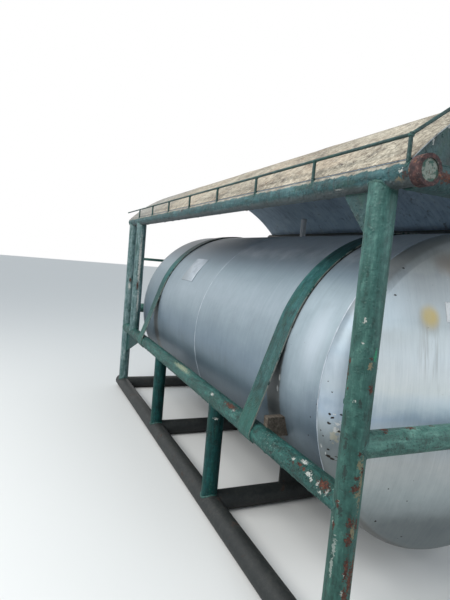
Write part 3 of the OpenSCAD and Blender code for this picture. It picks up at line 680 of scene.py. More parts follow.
def makeRoofPaint(name):
    finish = Finish(name)
    axes = finish.axes()
    slope = finish.grain(5.0, 0.65, (26, 7, 7))
    pebble = finish.noise(46.0, 6.0, 0.80, swirl=0.6)
    blotch = finish.noise(3.6, 4.0, 0.55)
    finish.colour = finish.ramp(slope * 0.14 + pebble * 0.64 + blotch * 0.22, roofLook["tones"])
    warm = finish.step(finish.noise(2.1, 4.0, 0.6, finish.moved((7, 2, 4))), 0.48, 0.66)
    finish.lay(warm * 0.22, roofLook["warm"])
    far = finish.step(axes["X"] + (blotch - 0.5) * 0.6, -0.5, -1.9)
    finish.lay(far * 0.60, roofLook["far"])
    field = finish.grain(6.0, 0.72, (19, 14, 14), swirl=0.8)
    crest = finish.step(axes["Z"], 2.30, 2.56)
    flake = finish.step(field + crest * 0.03, 0.575, 0.600) * finish.step(pebble, 0.46, 0.54)
    bare = finish.step(field + crest * 0.045, 0.605, 0.625) * finish.step(pebble, 0.47, 0.54)
    scratch = finish.step(finish.grain(4.0, 0.7, (64, 16, 16), (3, 1, 8)), 0.58, 0.66)
    finish.lay(flake * 0.75, roofLook["flake"])
    finish.lay(bare * 0.90, roofLook["bare"])
    finish.lay(scratch * 0.40, roofLook["scratch"])
    # painted shadow along the sheets' cut edges at the eaves
    lip = finish.step(abs(axes["Y"]), 1.0458, 1.0468)
    finish.lay(lip * 0.85, roofLook["lip"])
    # painted shade: the underside is painted blue-grey, with rust spots
    under = finish.ramp(blotch * 0.5 + slope * 0.5, roofLook["under"])
    under = finish.blend(finish.step(field, 0.60, 0.66) * 0.5, under, roofLook["underRust"])
    finish.lay(finish.step(finish.facingUp(), 0.02, -0.02), under)
    rough = 0.70 + (pebble - 0.5) * 0.3 + bare * 0.15
    relief = pebble * 0.9 + flake * 0.5 - bare * 0.7 - scratch * 0.4
    normal = finish.bump(relief, 0.0080, 0.9, finish.bump(finish.noise(3.0, 2.0, 0.4), 0.010, 0.5))
    return finish.close(rough, normal)


# black base pipes with dried mud and rust
baseLook = {
    "tones": [(0.35, 0.005, 0.008, 0.009), (0.5, 0.011, 0.015, 0.016), (0.7, 0.034, 0.036, 0.034)],
    "rusts": ((0.03, 0.018, 0.013), (0.07, 0.036, 0.022)),
    "mud": (0.095, 0.086, 0.07),
}


def makeBaseSteel(name):
    finish = Finish(name)
    cloud = finish.noise(6.0, 5.0, 0.6)
    grain = finish.noise(44.0, 5.0, 0.7)
    finish.colour = finish.ramp(cloud * 0.5 + grain * 0.5, baseLook["tones"])
    rust = finish.step(finish.noise(10.0, 6.0, 0.7), 0.60, 0.68)
    finish.lay(rust * 0.7, finish.blend(grain, *baseLook["rusts"]))
    mud = finish.step((cloud - 0.5) * 0.10 - finish.axes()["Z"], -0.035, 0.000)
    dust = finish.step(finish.facingUp() + (grain - 0.5) * 0.8, 0.65, 1.2)
    finish.lay(mud * 0.45, baseLook["mud"])
    finish.lay(dust * 0.10, baseLook["mud"])
    rough = 0.62 + rust * 0.25 + mud * 0.2
    normal = finish.bump(grain * 0.7 + cloud * 0.3 + rust * 0.3, 0.0035, 0.8)
    return finish.close(rough, normal)


# the caps' scaly ring and the flaking plate inside it
capLook = {
    "ring": [
        (0.4, 0.011, 0.007, 0.008), (0.48, 0.036, 0.018, 0.02), (0.56, 0.085, 0.038, 0.036),
        (0.66, 0.22, 0.125, 0.1)],
    "orange": (0.42, 0.185, 0.08),
    "brown": (0.06, 0.048, 0.036),
    "chips": (0.33, 0.27, 0.24),
    "paint": (0.035, 0.08, 0.07),
    "green": (0.055, 0.125, 0.1),
    "pale": (0.26, 0.3, 0.26),
}


def makeCapRust(name):
    finish = Finish(name)
    axes = finish.axes()
    across = abs(axes["Y"]) - halfWidth
    rise = axes["Z"] - eaveZ
    reach = (across * across + rise * rise) ** 0.5
    grain = finish.noise(75.0, 6.0, 0.72)
    scale = finish.noise(30.0, 5.0, 0.68, swirl=0.7)
    finish.colour = finish.ramp(grain * 0.5 + scale * 0.5, capLook["ring"])
    inner = finish.step(reach + (scale - 0.5) * 0.014, 0.0420, 0.0385)
    plate = finish.blend(finish.step(scale, 0.46, 0.52), capLook["green"], capLook["pale"])
    plate = finish.blend(finish.step(grain, 0.55, 0.60), plate, capLook["brown"])
    finish.lay(inner * 0.94, plate)
    glow = finish.step(finish.noise(38.0, 3.0), 0.62, 0.70) * (1 - inner)
    finish.lay(glow * 0.5, capLook["orange"])
    chips = finish.step(finish.noise(110.0, 3.0, 0.6), 0.62, 0.67) * (1 - inner)
    finish.lay(chips * 0.45, capLook["chips"])
    # the thin plates at the far ends are only painted
    painted = finish.step(axes["X"], 0.1, -0.1) * finish.step(grain, 0.62, 0.56)
    finish.lay(painted, capLook["paint"])
    normal = finish.bump(scale * 0.8 + grain * 0.4, 0.006, 1.0)
    return finish.close(0.84, normal)


linerLook = {"tones": ((0.008, 0.008, 0.009), (0.024, 0.024, 0.023)), "dirt": (0.09, 0.085, 0.075)}


def makeRubber(name):
    finish = Finish(name)
    grain = finish.noise(90.0, 4.0, 0.6)
    dirt = finish.step(finish.noise(12.0, 4.0, 0.6), 0.50, 0.75)
    finish.colour = finish.blend(grain, *linerLook["tones"])
    finish.lay(dirt * 0.35, linerLook["dirt"])
    rough = 0.78 + (grain - 0.5) * 0.2
    return finish.close(rough, finish.bump(grain, 0.0010, 0.8))


timberLook = {
    "tones": [(0.34, 0.03, 0.024, 0.019), (0.5, 0.095, 0.077, 0.06), (0.68, 0.185, 0.158, 0.125)],
    "crack": (0.012, 0.01, 0.008),
    "worn": 0.010,
}


def makeTimber(name):
    finish = Finish(name)
    rings = finish.grain(5.0, 0.6, (9, 80, 80), swirl=0.5)
    weather = finish.noise(18.0, 4.0, 0.6)
    finish.colour = finish.ramp(rings * 0.7 + weather * 0.3, timberLook["tones"])
    cracks = finish.step(finish.grain(3.0, 0.7, (6, 110, 110), (1, 4, 2)), 0.62, 0.68)
    finish.lay(cracks * 0.85, timberLook["crack"])
    normal = finish.bump(rings * 0.5 - cracks, 0.0030, 0.9)
    return finish.close(0.84, normal)


# the bare plate on the shell and the blank sticker: pale, scratched and grimy
plateTones = {
    "metal": [(0.36, 0.36, 0.42, 0.48), (0.55, 0.52, 0.58, 0.65), (0.72, 0.66, 0.72, 0.78)],
    "paper": [(0.34, 0.76, 0.78, 0.79), (0.6, 0.88, 0.89, 0.9)],
}
plateGrime = {
    "scratch": (0.26, 0.28, 0.3),
    "dull": (0.27, 0.31, 0.34),
    "corner": (-0.62, 1.65),
    "slope": (2.2, 3.2),
}


def makePlainPlate(name, kind, faded=False):
    finish = Finish(name)
    cloud = finish.noise(14.0, 4.0, 0.6)
    scratch = finish.step(finish.grain(3.0, 0.7, (20, 160, 60)), 0.60, 0.66)
    finish.colour = finish.ramp(cloud, plateTones[kind])
    finish.lay(scratch * 0.40, plateGrime["scratch"])
    if faded:
        # dull towards the lower far corner
        axes = finish.axes()
        aside, above = axes["X"] - plateGrime["corner"][0], axes["Z"] - plateGrime["corner"][1]
        dull = (cloud - 0.5) * 0.8 - aside * plateGrime["slope"][0] - above * plateGrime["slope"][1]
        finish.lay(finish.step(dull, -0.10, 0.55) * 0.80, plateGrime["dull"])
    rough, metal = 0.48 + (cloud - 0.5) * 0.3, 0.2 if kind == "metal" else 0.0
    normal = finish.bump(cloud * 0.4 + scratch * 0.3, 0.0008, 0.7)
    return finish.close(rough, normal, {"Metallic": metal})


# the grain runs along each pipe; shade tints the green, a painted light and shade for each piece that darkens
# the shaded legs and pales the far posts, and chips come where a noise passes their level
framePaints = {
    "rail": {"grain": (9, 46, 46), "shade": (0.33, 0.70, 0.68), "chips": 0.715, "lumps": 1.9, "gloss": 0.36,
             "marks": railSpots},
    "endRail": {"grain": (46, 9, 46), "shade": (1.15, 1.32, 1.22), "chips": 0.715, "lumps": 1.1,
                "marks": endSpots},
    "post": {"grain": (44, 44, 7), "shade": (0.59, 0.78, 0.74), "chips": 0.722, "lumps": 0.4, "gloss": 0.42,
             "marks": postSpots, "extra": postPaintedShade},
    "farPost": {"grain": (44, 44, 7), "shade": (2.50, 1.62, 1.84), "chips": 0.70, "lumps": 0.6,
                "marks": farPostSpots},
    "leg": {"grain": (44, 44, 7), "shade": (0.09, 0.37, 0.40), "chips": 0.76, "lumps": 0.6, "gloss": 0.2,
            "marks": legSpots},
    "eave": {"grain": (9, 46, 46), "shade": (0.50, 0.70, 0.86), "chips": 0.72, "lumps": 1.2, "gloss": 0.38,
             "marks": eaveSpots, "extra": eaveGrime},
    "strap": {"grain": (50, 8, 8), "shade": (0.36, 0.58, 0.63), "chips": 0.75, "lumps": 0.6, "gloss": 0.35,
              "marks": strapSpots, "extra": strapEdges},
    "gable": {"grain": (16, 16, 9), "shade": (0.38, 0.49, 0.58), "chips": 0.72, "lumps": 0.9, "gloss": 0.42,
              "marks": gableSpots},
    "bar": {"grain": (12, 60, 60), "shade": (0.40, 0.45, 0.49), "chips": 0.76, "lumps": 0.6, "gloss": 0.35},
    "weld": {"grain": (30, 30, 30), "shade": (0.52, 0.76, 0.73), "chips": 0.72, "lumps": 0.9},
}
paints = {key: makeFramePaint(key + "Paint", **look) for key, look in framePaints.items()}
paints |= {
    "shell": makeTankSteel("tankShellSteel", (42, 1.6, 1.6), shellMarks),
    "head": makeTankSteel("tankHeadSteel", (9, 40, 1.7), headMarks, True),
    "seam": makePlainPlate("seamSteel", "metal"),
    "roof": makeRoofPaint("roofPaint"),
    "base": makeBaseSteel("baseSteel"),
    "cap": makeCapRust("capRust"),
    "liner": makeRubber("linerRubber"),
    "timber": makeTimber("chockTimber"),
    "shellPlate": makePlainPlate("blankPlate", "metal", True),
    "sticker": makePlainPlate("blankSticker", "paper"),
}
print("stage:", len(paints), "materials made")

nodePaints = {
    "shell": ["shell_near", "shell_far", "top_stub"],
    "head": ["near_head", "far_head"],
    "rail": ["front_side_rail", "back_side_rail"],
    "endRail": ["near_end_rail", "far_end_rail", "far_tie_rod"],
    "post": ["near_front_post", "near_back_post"],
    "farPost": ["far_front_post", "far_back_post", "inner_posts"],
    "leg": ["front_legs", "back_legs", "rail_gussets"],
    "eave": ["front_eave_pipe", "back_eave_pipe"],
    "strap": ["near_strap", "far_strap"],
    "gable": ["gable_beam", "gable_plate", "eave_gussets"],
    "bar": ["front_tie_rail", "back_tie_rail", "gable_tie_rail", "front_uprights", "back_uprights"],
    "roof": ["roof_sheet_1", "roof_sheet_2", "roof_sheet_3", "roof_sheet_4"],
    "base": ["front_runner", "back_runner", "runner_end_plates", "base_cross_pipes",
             "near_saddle", "far_saddle"],
    "cap": ["eave_caps"],
    "liner": ["near_liner", "far_liner"],
    "timber": ["timber_chocks"],
}
for paintName, members in nodePaints.items():
    for member in members:
        mesh = nodes[member].data
        mesh.materials.clear()
        mesh.materials.append(paints[paintName])
wornEdges = nodes["timber_chocks"].modifiers.new("wornEdges", "BEVEL")
wornEdges.width, wornEdges.segments = timberLook["worn"], 3
print("stage: nodes painted")


axisX, axisY, axisZ = np.eye(3)
fullTurn = 2 * math.pi


def addPiece(name, points, faces, material):
    mesh = bpy.data.meshes.new(name)
    mesh.from_pydata([tuple(point) for point in points], [], faces)
    mesh.polygons.foreach_set("use_smooth", [True] * len(mesh.polygons))
    mesh.update()
    piece = bpy.data.objects.new(name, mesh)
    scene.collection.objects.link(piece)
    mesh.materials.append(material)
    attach(piece, "root")


class Store:
    # the points and faces of one piece, gathered part by part
    def __init__(self):
        self.points, self.faces, self.count = [], [], 0

    def put(self, points, faces):
        self.faces += [tuple(self.count + corner for corner in face) for face in faces]
        self.points.append(points)
        self.count += len(points)

    def finish(self, name, slotName, material):
        # pressed flat where the points would stick out of the object's box
        points = np.clip(np.vstack(self.points), *(np.array(corner) for corner in cadBox))
        addPiece(name, points, self.faces, material)


# how a weld bead looks: half width, half height, ripple spacing and how far it wanders
beadLooks = {
    "pipe": {"width": 0.0064, "height": 0.0038, "pitch": 0.0075, "ripple": 0.20, "wander": 0.30, "sides": 8},
    "base": {"width": 0.0088, "height": 0.0070, "pitch": 0.0085, "ripple": 0.20, "wander": 0.25, "sides": 8},
    "small": {"width": 0.0034, "height": 0.0032, "pitch": 0.0042, "ripple": 0.22, "wander": 0.25, "sides": 6},
    "tank": {"width": 0.0058, "height": 0.0022, "pitch": 0.0065, "ripple": 0.28, "wander": 0.16, "sides": 6},
    "plate": {"width": 0.0050, "height": 0.0046, "pitch": 0.0060, "ripple": 0.20, "wander": 0.22, "sides": 6},
    "roof": {"width": 0.0060, "height": 0.0024, "pitch": 0.0070, "ripple": 0.25, "wander": 0.30, "sides": 6},
}
# numbers that all beads share: points in a ripple, waves along a bead, side drift, lean and thin ends
beadShape = {"perPitch": 3, "waves": (2, 3, 5, 9, 14), "drift": 0.12, "lean": 0.35, "endSize": 0.4}
chance = random.Random(11)
tiny = 1e-12


clampShare = 0.866  # of the header's radius


def saddlePath(point, branch, header, branchRadius, headerRadius, count=144):
    # where a round branch meets a round header; a branch wider than its header is clamped to it
    across = np.cross(branch, header)
    turns = np.linspace(0, fullTurn, count, endpoint=False)
    wanted = branchRadius * np.sin(turns)
    most = clampShare * headerRadius
    held = np.clip(wanted, -most, most) if branchRadius > headerRadius else wanted
    height = np.sqrt(np.maximum(headerRadius ** 2 - held ** 2, 0))
    aside = held + (wanted - held) * 0.5
    path = point + np.outer(branchRadius * np.cos(turns), header)
    path = path + np.outer(aside, across) + np.outer(height, branch)
    headerNormal = (np.outer(held, across) + np.outer(height, branch)) / headerRadius
    branchNormal = np.outer(np.cos(turns), header) + np.outer(np.sin(turns), across)
    return path, headerNormal + branchNormal, 1 + np.abs(wanted - held) / branchRadius * 4


class Beads(Store):
    # weld beads, each swept along a path in one of the looks
    def sweep(self, path, normals, lookName, closed=False, thick=None):
        look = beadLooks[lookName]
        path, normals = np.asarray(path, float), np.asarray(normals, float)
        thick = np.ones(len(path)) if thick is None else thick
        if closed:
            path, normals, thick = (np.concatenate([part, part[:1]]) for part in (path, normals, thick))
        reach = np.concatenate([[0], np.cumsum(np.linalg.norm(np.diff(path, axis=0), axis=1))])
        count = max(6, int(reach[-1] / look["pitch"] * beadShape["perPitch"]))
        spots = np.linspace(0, reach[-1], count + 1)
        if closed:
            spots = spots[:-1]
        centre = np.stack([np.interp(spots, reach, path[:, k]) for k in range(3)], 1)
        normal = np.stack([np.interp(spots, reach, normals[:, k]) for k in range(3)], 1)
        swell = np.interp(spots, reach, thick)
        ahead = np.roll(centre, -1, 0) - np.roll(centre, 1, 0) if closed else np.gradient(centre, axis=0)
        ahead /= np.linalg.norm(ahead, axis=1)[:, None] + tiny
        side = np.cross(ahead, normal)
        side /= np.linalg.norm(side, axis=1)[:, None] + tiny
        normal /= np.linalg.norm(normal, axis=1)[:, None] + tiny
        turns = spots / reach[-1] * 2 * np.pi
        wobble = sum(np.sin(turns * wave + chance.uniform(0, 6.3)) * chance.uniform(0.3, 1.0) / 2.2
                     for wave in beadShape["waves"])
        ripple = 1 - look["ripple"] * np.abs(np.sin(spots / look["pitch"] * np.pi + chance.uniform(0, 3)))
        size = ripple * (1 + look["wander"] * wobble * 0.5) * swell
        if not closed:
            size[[0, -1]] *= beadShape["endSize"]
        drift = wobble * look["width"] * beadShape["drift"]
        sides, total = look["sides"], len(spots)
        rings = []
        for k in range(sides):
            angle = fullTurn * k / sides
            rings.append(centre + normal * (look["height"] * size * math.cos(angle))[:, None]
                         + side * (look["width"] * size * math.sin(angle) + drift)[:, None]
                         + ahead * (look["pitch"] * beadShape["lean"] * math.cos(angle)))
        faces = []
        for i in range(total if closed else total - 1):
            here, there = i * sides, (i + 1) % total * sides
            for k in range(sides):
                faces.append((here + k, here + (k + 1) % sides, there + (k + 1) % sides, there + k))
        if not closed:
            faces.append(tuple(range(sides))[::-1])
            faces.append(tuple(range((total - 1) * sides, total * sides)))
        self.put(np.stack(rings, 1).reshape(-1, 3), faces)

    def saddle(self, point, branch, header, branchRadius, headerRadius, lookName):
        path, normals, thick = saddlePath(np.array(point, float), branch, header, branchRadius, headerRadius)
        self.sweep(path, normals, lookName, True, thick)

    def line(self, start, end, normal, lookName, steps=12):
        share = np.linspace(0, 1, steps)[:, None]
        path = np.array(start) * (1 - share) + np.array(end) * share
        self.sweep(path, np.tile(np.array(normal, float), (steps, 1)), lookName)

    def arc(self, x, y, z, radius, start, end, lookName, steps=160, closed=False, lift=0.0):
        # an arc round the X direction; angles from straight up towards +Y
        turns = np.linspace(start, end, steps, endpoint=not closed)
        normals = np.stack([np.zeros(steps), np.sin(turns), np.cos(turns)], 1)
        self.sweep(normals * radius + np.array((x, y, z)), normals + np.array((lift, 0, 0)), lookName, closed)

    def ring(self, x, y, z, radius, lookName, steps=90, lift=0.0):
        self.arc(x, y, z, radius, 0, fullTurn, lookName, steps, True, lift)


# welds of the posts, rails and legs
tieRodRadius = 0.0167
postWelds, railWelds, baseWelds = Beads(), Beads(), Beads()
for sideY in (-1, 1):
    y = sideY * halfWidth
    inward = axisY * -sideY
    for endX in (-1, 1):
        x = endX * halfLength
        postWelds.saddle((x, y, baseRadius), axisZ, axisX, pipeRadius, baseRadius, "base")
        postWelds.saddle((x, y, eaveZ), -axisZ, axisX, pipeRadius, eaveRadius, "pipe")
        railWelds.saddle((x, y, railZ), axisX * -endX, axisZ, pipeRadius, pipeRadius, "pipe")
        railWelds.saddle((x, y, sizes["endRailZ"]), inward, axisZ, pipeRadius, pipeRadius, "pipe")
        baseWelds.saddle((x, y, baseRadius), inward, axisX, baseRadius, baseRadius, "base")
    postWelds.saddle((sizes["innerPostX"], y, railZ), axisZ, axisX, pipeRadius, pipeRadius, "pipe")
    postWelds.saddle((sizes["innerPostX"], y, eaveZ), -axisZ, axisX, pipeRadius, eaveRadius, "pipe")
    for x in legXs:
        postWelds.saddle((x, y, baseRadius), axisZ, axisX, pipeRadius, baseRadius, "base")
        railWelds.saddle((x, y, railZ), -axisZ, axisX, pipeRadius, pipeRadius, "pipe")
        baseWelds.saddle((x, y, baseRadius), inward, axisX, baseRadius, baseRadius, "base")
    railWelds.saddle((-halfLength, y, sizes["tieRodZ"]), inward, axisZ, tieRodRadius, pipeRadius, "plate")
    railWelds.saddle((sizes["beamX"], y, eaveZ), inward, axisX, pipeRadius, eaveRadius, "pipe")
postWelds.finish("post_welds", "frame_paint", paints["weld"])
railWelds.finish("rail_welds", "frame_paint", paints["weld"])
baseWelds.finish("base_welds", "base_steel", paints["base"])
print("stage: pipe welds")

# seams of the tank, its stub and its two saddles, and the runners' end plates
stub = {"x": 0.1, "radius": 0.02415}
runnerPlateInset = 0.0024
saddle = {"halfWeb": 0.008, "halfPad": 0.075, "reach": 0.44, "footZ": 0.1405,
          "padAngle": 28.5, "padLift": 0.003, "webAngle": 28.0, "webLift": 0.010}
tankSeams, saddleWelds = Beads(), Beads()
for x in (-sizes["halfShell"], 0.0, sizes["halfShell"]):
    tankSeams.ring(x, 0, tankZ, tankRadius, "tank", 360)
tankSeams.saddle((stub["x"], 0, tankZ), axisZ, axisX, stub["radius"], tankRadius, "small")
for x in legXs:
    for edge in (-1, 1):
        webX, padX = x + edge * saddle["halfWeb"], x + edge * saddle["halfPad"]
        saddleWelds.line((webX, -saddle["reach"], saddle["footZ"]), (webX, saddle["reach"], saddle["footZ"]),
                         (edge, 0, 1), "plate")
        for beadX, part in ((padX, "pad"), (webX, "web")):
            radius = tankRadius + saddle[part + "Lift"]
            start, end = (math.radians(180 + turn * saddle[part + "Angle"]) for turn in (-1, 1))
            saddleWelds.arc(beadX, 0, tankZ, radius, start, end, "plate", lift=edge)
for sideY in (-1, 1):
    for endX in (-1, 1):
        x, y = endX * sizes["halfRunner"], sideY * halfWidth
        saddleWelds.ring(x, y, baseRadius, baseRadius - runnerPlateInset, "roof")
tankSeams.finish("tank_seams", "tank_steel", paints["seam"])
saddleWelds.finish("saddle_welds", "base_steel", paints["base"])
print("stage: tank seams")

# gussets, gable and the wrapped ends of the straps
gusset = {"halfThick": 0.005, "eaveLength": 0.169, "eaveDrop": 0.193, "railLength": 0.620, "railDrop": 0.250,
          "gap": 0.0004, "lineStart": 0.008, "dropStart": 0.01}
gable = {"halfThick": 0.003, "reach": 0.955, "angle": math.radians(43), "lift": 0.001}
strapEnd = {"start": math.radians(74), "end": math.radians(149.4), "reach": 0.0615, "lift": 0.0015}
plateWelds = Beads()
for sideY in (-1, 1):
    for face in (-1, 1):
        y = sideY * halfWidth + face * gusset["halfThick"]
        for kind, endX, under in (("eave", 1, eaveZ - eaveRadius), ("rail", -1, railZ - pipeRadius)):
            x = endX * (halfLength - pipeRadius + gusset["gap"])
            # along the rail from the lower to the higher X, then down the post
            first, last = sorted(x - endX * gusset[key] for key in (kind + "Length", "lineStart"))
            plateWelds.line((first, y, under), (last, y, under), (0, face, -1), "plate")
            plateWelds.line((x, y, under - gusset[kind + "Drop"]), (x, y, under - gusset["dropStart"]),
                            (-endX, face, 0), "plate")
for face in (-1, 1):
    x, z = sizes["beamX"] + face * gable["halfThick"], eaveZ + pipeRadius
    plateWelds.line((x, -gable["reach"], z), (x, gable["reach"], z), (face, 0, 1), "plate", 40)
    radius, angle = roofRadius - gable["lift"], gable["angle"]
    plateWelds.arc(x, 0, roofZ, radius, -angle, angle, "plate", lift=-face)
for x in strapXs:
    half = sizes["strapWidth"] / 2
    for sideY in (-1, 1):
        y = sideY * (halfWidth + strapEnd["reach"] * math.sin(strapEnd["end"]))
        z = railZ + strapEnd["reach"] * math.cos(strapEnd["end"])
        plateWelds.line((x - half, y, z), (x + half, y, z), (0, sideY * 0.3, -1), "pipe")
        for edge in (-1, 1):
            plateWelds.arc(x + edge * half, sideY * halfWidth, railZ, pipeRadius + strapEnd["lift"],
                           sideY * strapEnd["start"], sideY * strapEnd["end"], "plate", 40, lift=edge)
plateWelds.finish("plate_welds", "frame_paint", paints["weld"])
print("stage: gusset, gable and strap welds")

# seams between the roof sheets and stitches along the eaves
roofSeam = {"lift": 0.0042, "edgeLift": 0.001}
stitch = {"half": 0.015, "pitch": 0.300, "start": -2.28, "count": 16, "stray": 0.03}
roofSeams = Beads()
for k in (1, 2, 3):
    roofSeams.arc(sizes["farEaveX"] + sizes["sheetLength"] * k, 0, roofZ, roofRadius + roofSeam["lift"],
                  -sizes["roofAngle"], sizes["roofAngle"], "roof", 240)
for sideY in (-1, 1):
    y = sideY * (roofRadius + roofSeam["edgeLift"]) * math.sin(sizes["roofAngle"])
    z = roofZ + (roofRadius + roofSeam["edgeLift"]) * math.cos(sizes["roofAngle"])
    for k in range(stitch["count"]):
        x = stitch["start"] + k * stitch["pitch"] + chance.uniform(-stitch["stray"], stitch["stray"])
        roofSeams.line((x - stitch["half"], y, z), (x + stitch["half"], y, z), (0, sideY, 0.2), "small")
roofSeams.finish("roof_seams", "roof_sheet", paints["roof"])
print("stage: roof seams")

# the tie rails' small welds, and beads round the caps and the far end plates
bar = {"radius": 0.007, "upright": 0.008, "uprights": 8, "stub": 0.006, "footSteps": 60}
gableBar = {"radius": 1.467803, "angle": math.radians(35.854), "stubs": (-2 / 3, 0, 2 / 3)}
cap = {"length": 0.030, "farInset": 0.0006}
tieWelds = Beads()
for sideY in (-1, 1):
    for k in range(bar["uprights"]):
        x = sizes["nearUprightX"] - k * sizes["uprightPitch"]
        top = (x, sideY * sizes["barY"], sizes["barZ"])
        tieWelds.saddle(top, -axisZ, axisX, bar["upright"], bar["radius"], "small")
        turns = np.linspace(0, fullTurn, bar["footSteps"], endpoint=False)
        away = sizes["barY"] - halfWidth + bar["upright"] * np.cos(turns)
        rise = np.sqrt(np.maximum(eaveRadius ** 2 - away ** 2, 0))
        path = np.stack([x + bar["upright"] * np.sin(turns), sideY * (halfWidth + away), eaveZ + rise], 1)
        normals = np.stack([np.sin(turns), sideY * (0.8 + np.cos(turns)), np.full(len(turns), 0.6)], 1)
        tieWelds.sweep(path, normals, "small", True)
for sideY in (-1, 1):
    climb = np.array((0, math.cos(gableBar["angle"]) * -sideY, math.sin(gableBar["angle"])))
    corner = (sizes["nearUprightX"], sideY * sizes["barY"], sizes["barZ"])
    tieWelds.saddle(corner, climb, axisX, bar["radius"], bar["radius"], "small")
for share in gableBar["stubs"]:
    lean = gableBar["angle"] * share
    radial = np.array((0, math.sin(lean), math.cos(lean)))
    tangent = np.array((0, math.cos(lean), -math.sin(lean)))
    centre = np.array((sizes["nearUprightX"], 0, roofZ))
    tieWelds.saddle(centre, radial, axisX, bar["stub"], roofRadius + sizes["sheetThick"], "small")
    top = centre + radial * gableBar["radius"]
    tieWelds.saddle(top, -radial, tangent, bar["stub"], bar["radius"], "small")
for sideY in (-1, 1):
    y = sideY * halfWidth
    tieWelds.ring(sizes["nearEaveX"] - cap["length"], y, eaveZ, eaveRadius, "plate", lift=-1)
    tieWelds.ring(sizes["farEaveX"], y, eaveZ, eaveRadius - cap["farInset"], "small", lift=-1)
tieWelds.finish("tie_rail_welds", "frame_paint", paints["weld"])
print("stage: tie rail welds")


# drips and lumps of old paint under the rails and the eave pipes
dripLook = {"rail": 420, "eave": 260, "post": 90, "seed": 5, "front": 0.6}
# a drop's smallest size and how much bigger the biggest is
dropSizes = {"length": (0.004, 0.012), "width": (0.003, 0.006), "height": (0.0012, 0.0026)}
# a drop's two rings, each as spread and lift, and the points in a ring
dropShape = {"rings": ((0.55, 0.80), (1.0, -0.4)), "corners": 8}


def addDrop(store, centre, normal, along, length, width, height):
    side = np.cross(normal, along)
    corners = dropShape["corners"]
    points = [centre + normal * height]
    for spread, lift in dropShape["rings"]:
        for k in range(corners):
            angle = fullTurn * k / corners
            points.append(centre + along * (length * spread * math.cos(angle))
                          + side * (width * spread * math.sin(angle)) + normal * (height * lift))
    faces = []
    for k in range(corners):
        here, there = 1 + k, 1 + (k + 1) % corners
        faces += [(0, here, there), (here, here + corners, there + corners, there)]
    store.put(np.array(points), faces)


def scatterDrops(name, amount, radius, pickPlace, material):
    store = Store()
    dice = random.Random(dripLook["seed"] + amount)
    for _ in range(amount):
        axisPoint, normal, along = pickPlace(dice)
        big = dice.random() ** 2.5
        spans = [least + more * big for least, more in dropSizes.values()]
        addDrop(store, axisPoint + normal * radius, normal, along, *spans)
    store.finish(name, "frame_paint", material)


def pipeSide(dice, spread):
    # a place under a side rail or an eave pipe, more often at the front
    sideY = -1 if dice.random() < dripLook["front"] else 1
    angle = math.radians(dice.gauss(165, spread))
    normal = np.array((0, sideY * math.sin(angle), math.cos(angle)))
    return sideY, normal


def railPlace(dice):
    sideY, normal = pipeSide(dice, 48)
    along = axisX if dice.random() < 0.5 else np.cross(axisX, normal)
    return np.array((dice.uniform(-2.15, 2.15), sideY * halfWidth, railZ)), normal, along


def eavePlace(dice):
    sideY, normal = pipeSide(dice, 35)
    return np.array((dice.uniform(-2.30, 2.38), sideY * halfWidth, eaveZ)), normal, np.cross(axisX, normal)


def postPlace(dice):
    angle = dice.uniform(0, fullTurn)
    normal = np.array((math.cos(angle), math.sin(angle), 0))
    x, y = dice.choice((-1, 1)) * halfLength, dice.choice((-1, 1)) * halfWidth
    return np.array((x, y, dice.uniform(0.2, 2.0))), normal, axisZ


scatterDrops("rail_drips", dripLook["rail"], pipeRadius, railPlace, paints["rail"])
scatterDrops("eave_drips", dripLook["eave"], eaveRadius, eavePlace, paints["eave"])
scatterDrops("post_drips", dripLook["post"], pipeRadius, postPlace, paints["post"])
print("stage: paint drips")

# a blank plate on the shell, with a raised rim, and a blank sticker on the near head, with a curled corner
plateLook = {"x": (-0.775, -0.465), "angles": (27.0, 44.0), "thick": 0.0022, "rim": 0.009, "rimLift": 0.0022,
             "wave": 0.0012, "sunk": 0.001, "columns": 60, "rows": 40}
stickerLook = {"y": (-0.372, -0.290), "z": (0.440, 0.537), "thick": 0.0006, "curl": 0.008, "curlFrom": 1.55,
               "crownX": 0.329875, "crown": 1.829, "columns": 16, "rows": 16}


def thinSheet(name, look, placeOf, material, thick):
    # placeOf gives the outer face; the back lies that much nearer the tank
    columns, rows = look["columns"], look["rows"]
    front, back = [], []
    for i in range(rows + 1):
        for j in range(columns + 1):
            outer, normal = placeOf(j / columns, i / rows)
            front.append(outer)
            back.append(outer - normal * thick)
    wide, total = columns + 1, (columns + 1) * (rows + 1)
    faces = []
    for i in range(rows):
        for j in range(columns):
            a = i * wide + j
            faces.append((a, a + 1, a + wide + 1, a + wide))
            faces.append((total + a, total + a + wide, total + a + wide + 1, total + a + 1))
    for j in range(columns):
        a, b = j, rows * wide + j
        faces.append((a + 1, a, total + a, total + a + 1))
        faces.append((b, b + 1, total + b + 1, total + b))
    for i in range(rows):
        a, b = i * wide, i * wide + columns
        faces.append((a, a + wide, total + a + wide, total + a))
        faces.append((b + wide, b, total + b, total + b + wide))
    addPiece(name, front + back, faces, material)


def between(ends, share):
    return ends[0] + (ends[1] - ends[0]) * share


def shellPlatePlace(u, v):
    low, high = (math.radians(angle) for angle in plateLook["angles"])
    angle = between((low, high), v)
    normal = np.array((0, -math.cos(angle), math.sin(angle)))
    wide, tall = plateLook["x"][1] - plateLook["x"][0], tankRadius * (high - low)
    edge = min(u * wide, (1 - u) * wide, v * tall, (1 - v) * tall)
    lift = plateLook["thick"] + (plateLook["rimLift"] if edge < plateLook["rim"] else 0)
    lift += plateLook["wave"] * math.sin(u * 7.0 + 1.0) * math.sin(v * 5.0 + 0.6)
    return np.array((between(plateLook["x"], u), 0, tankZ)) + normal * (tankRadius + lift), normal


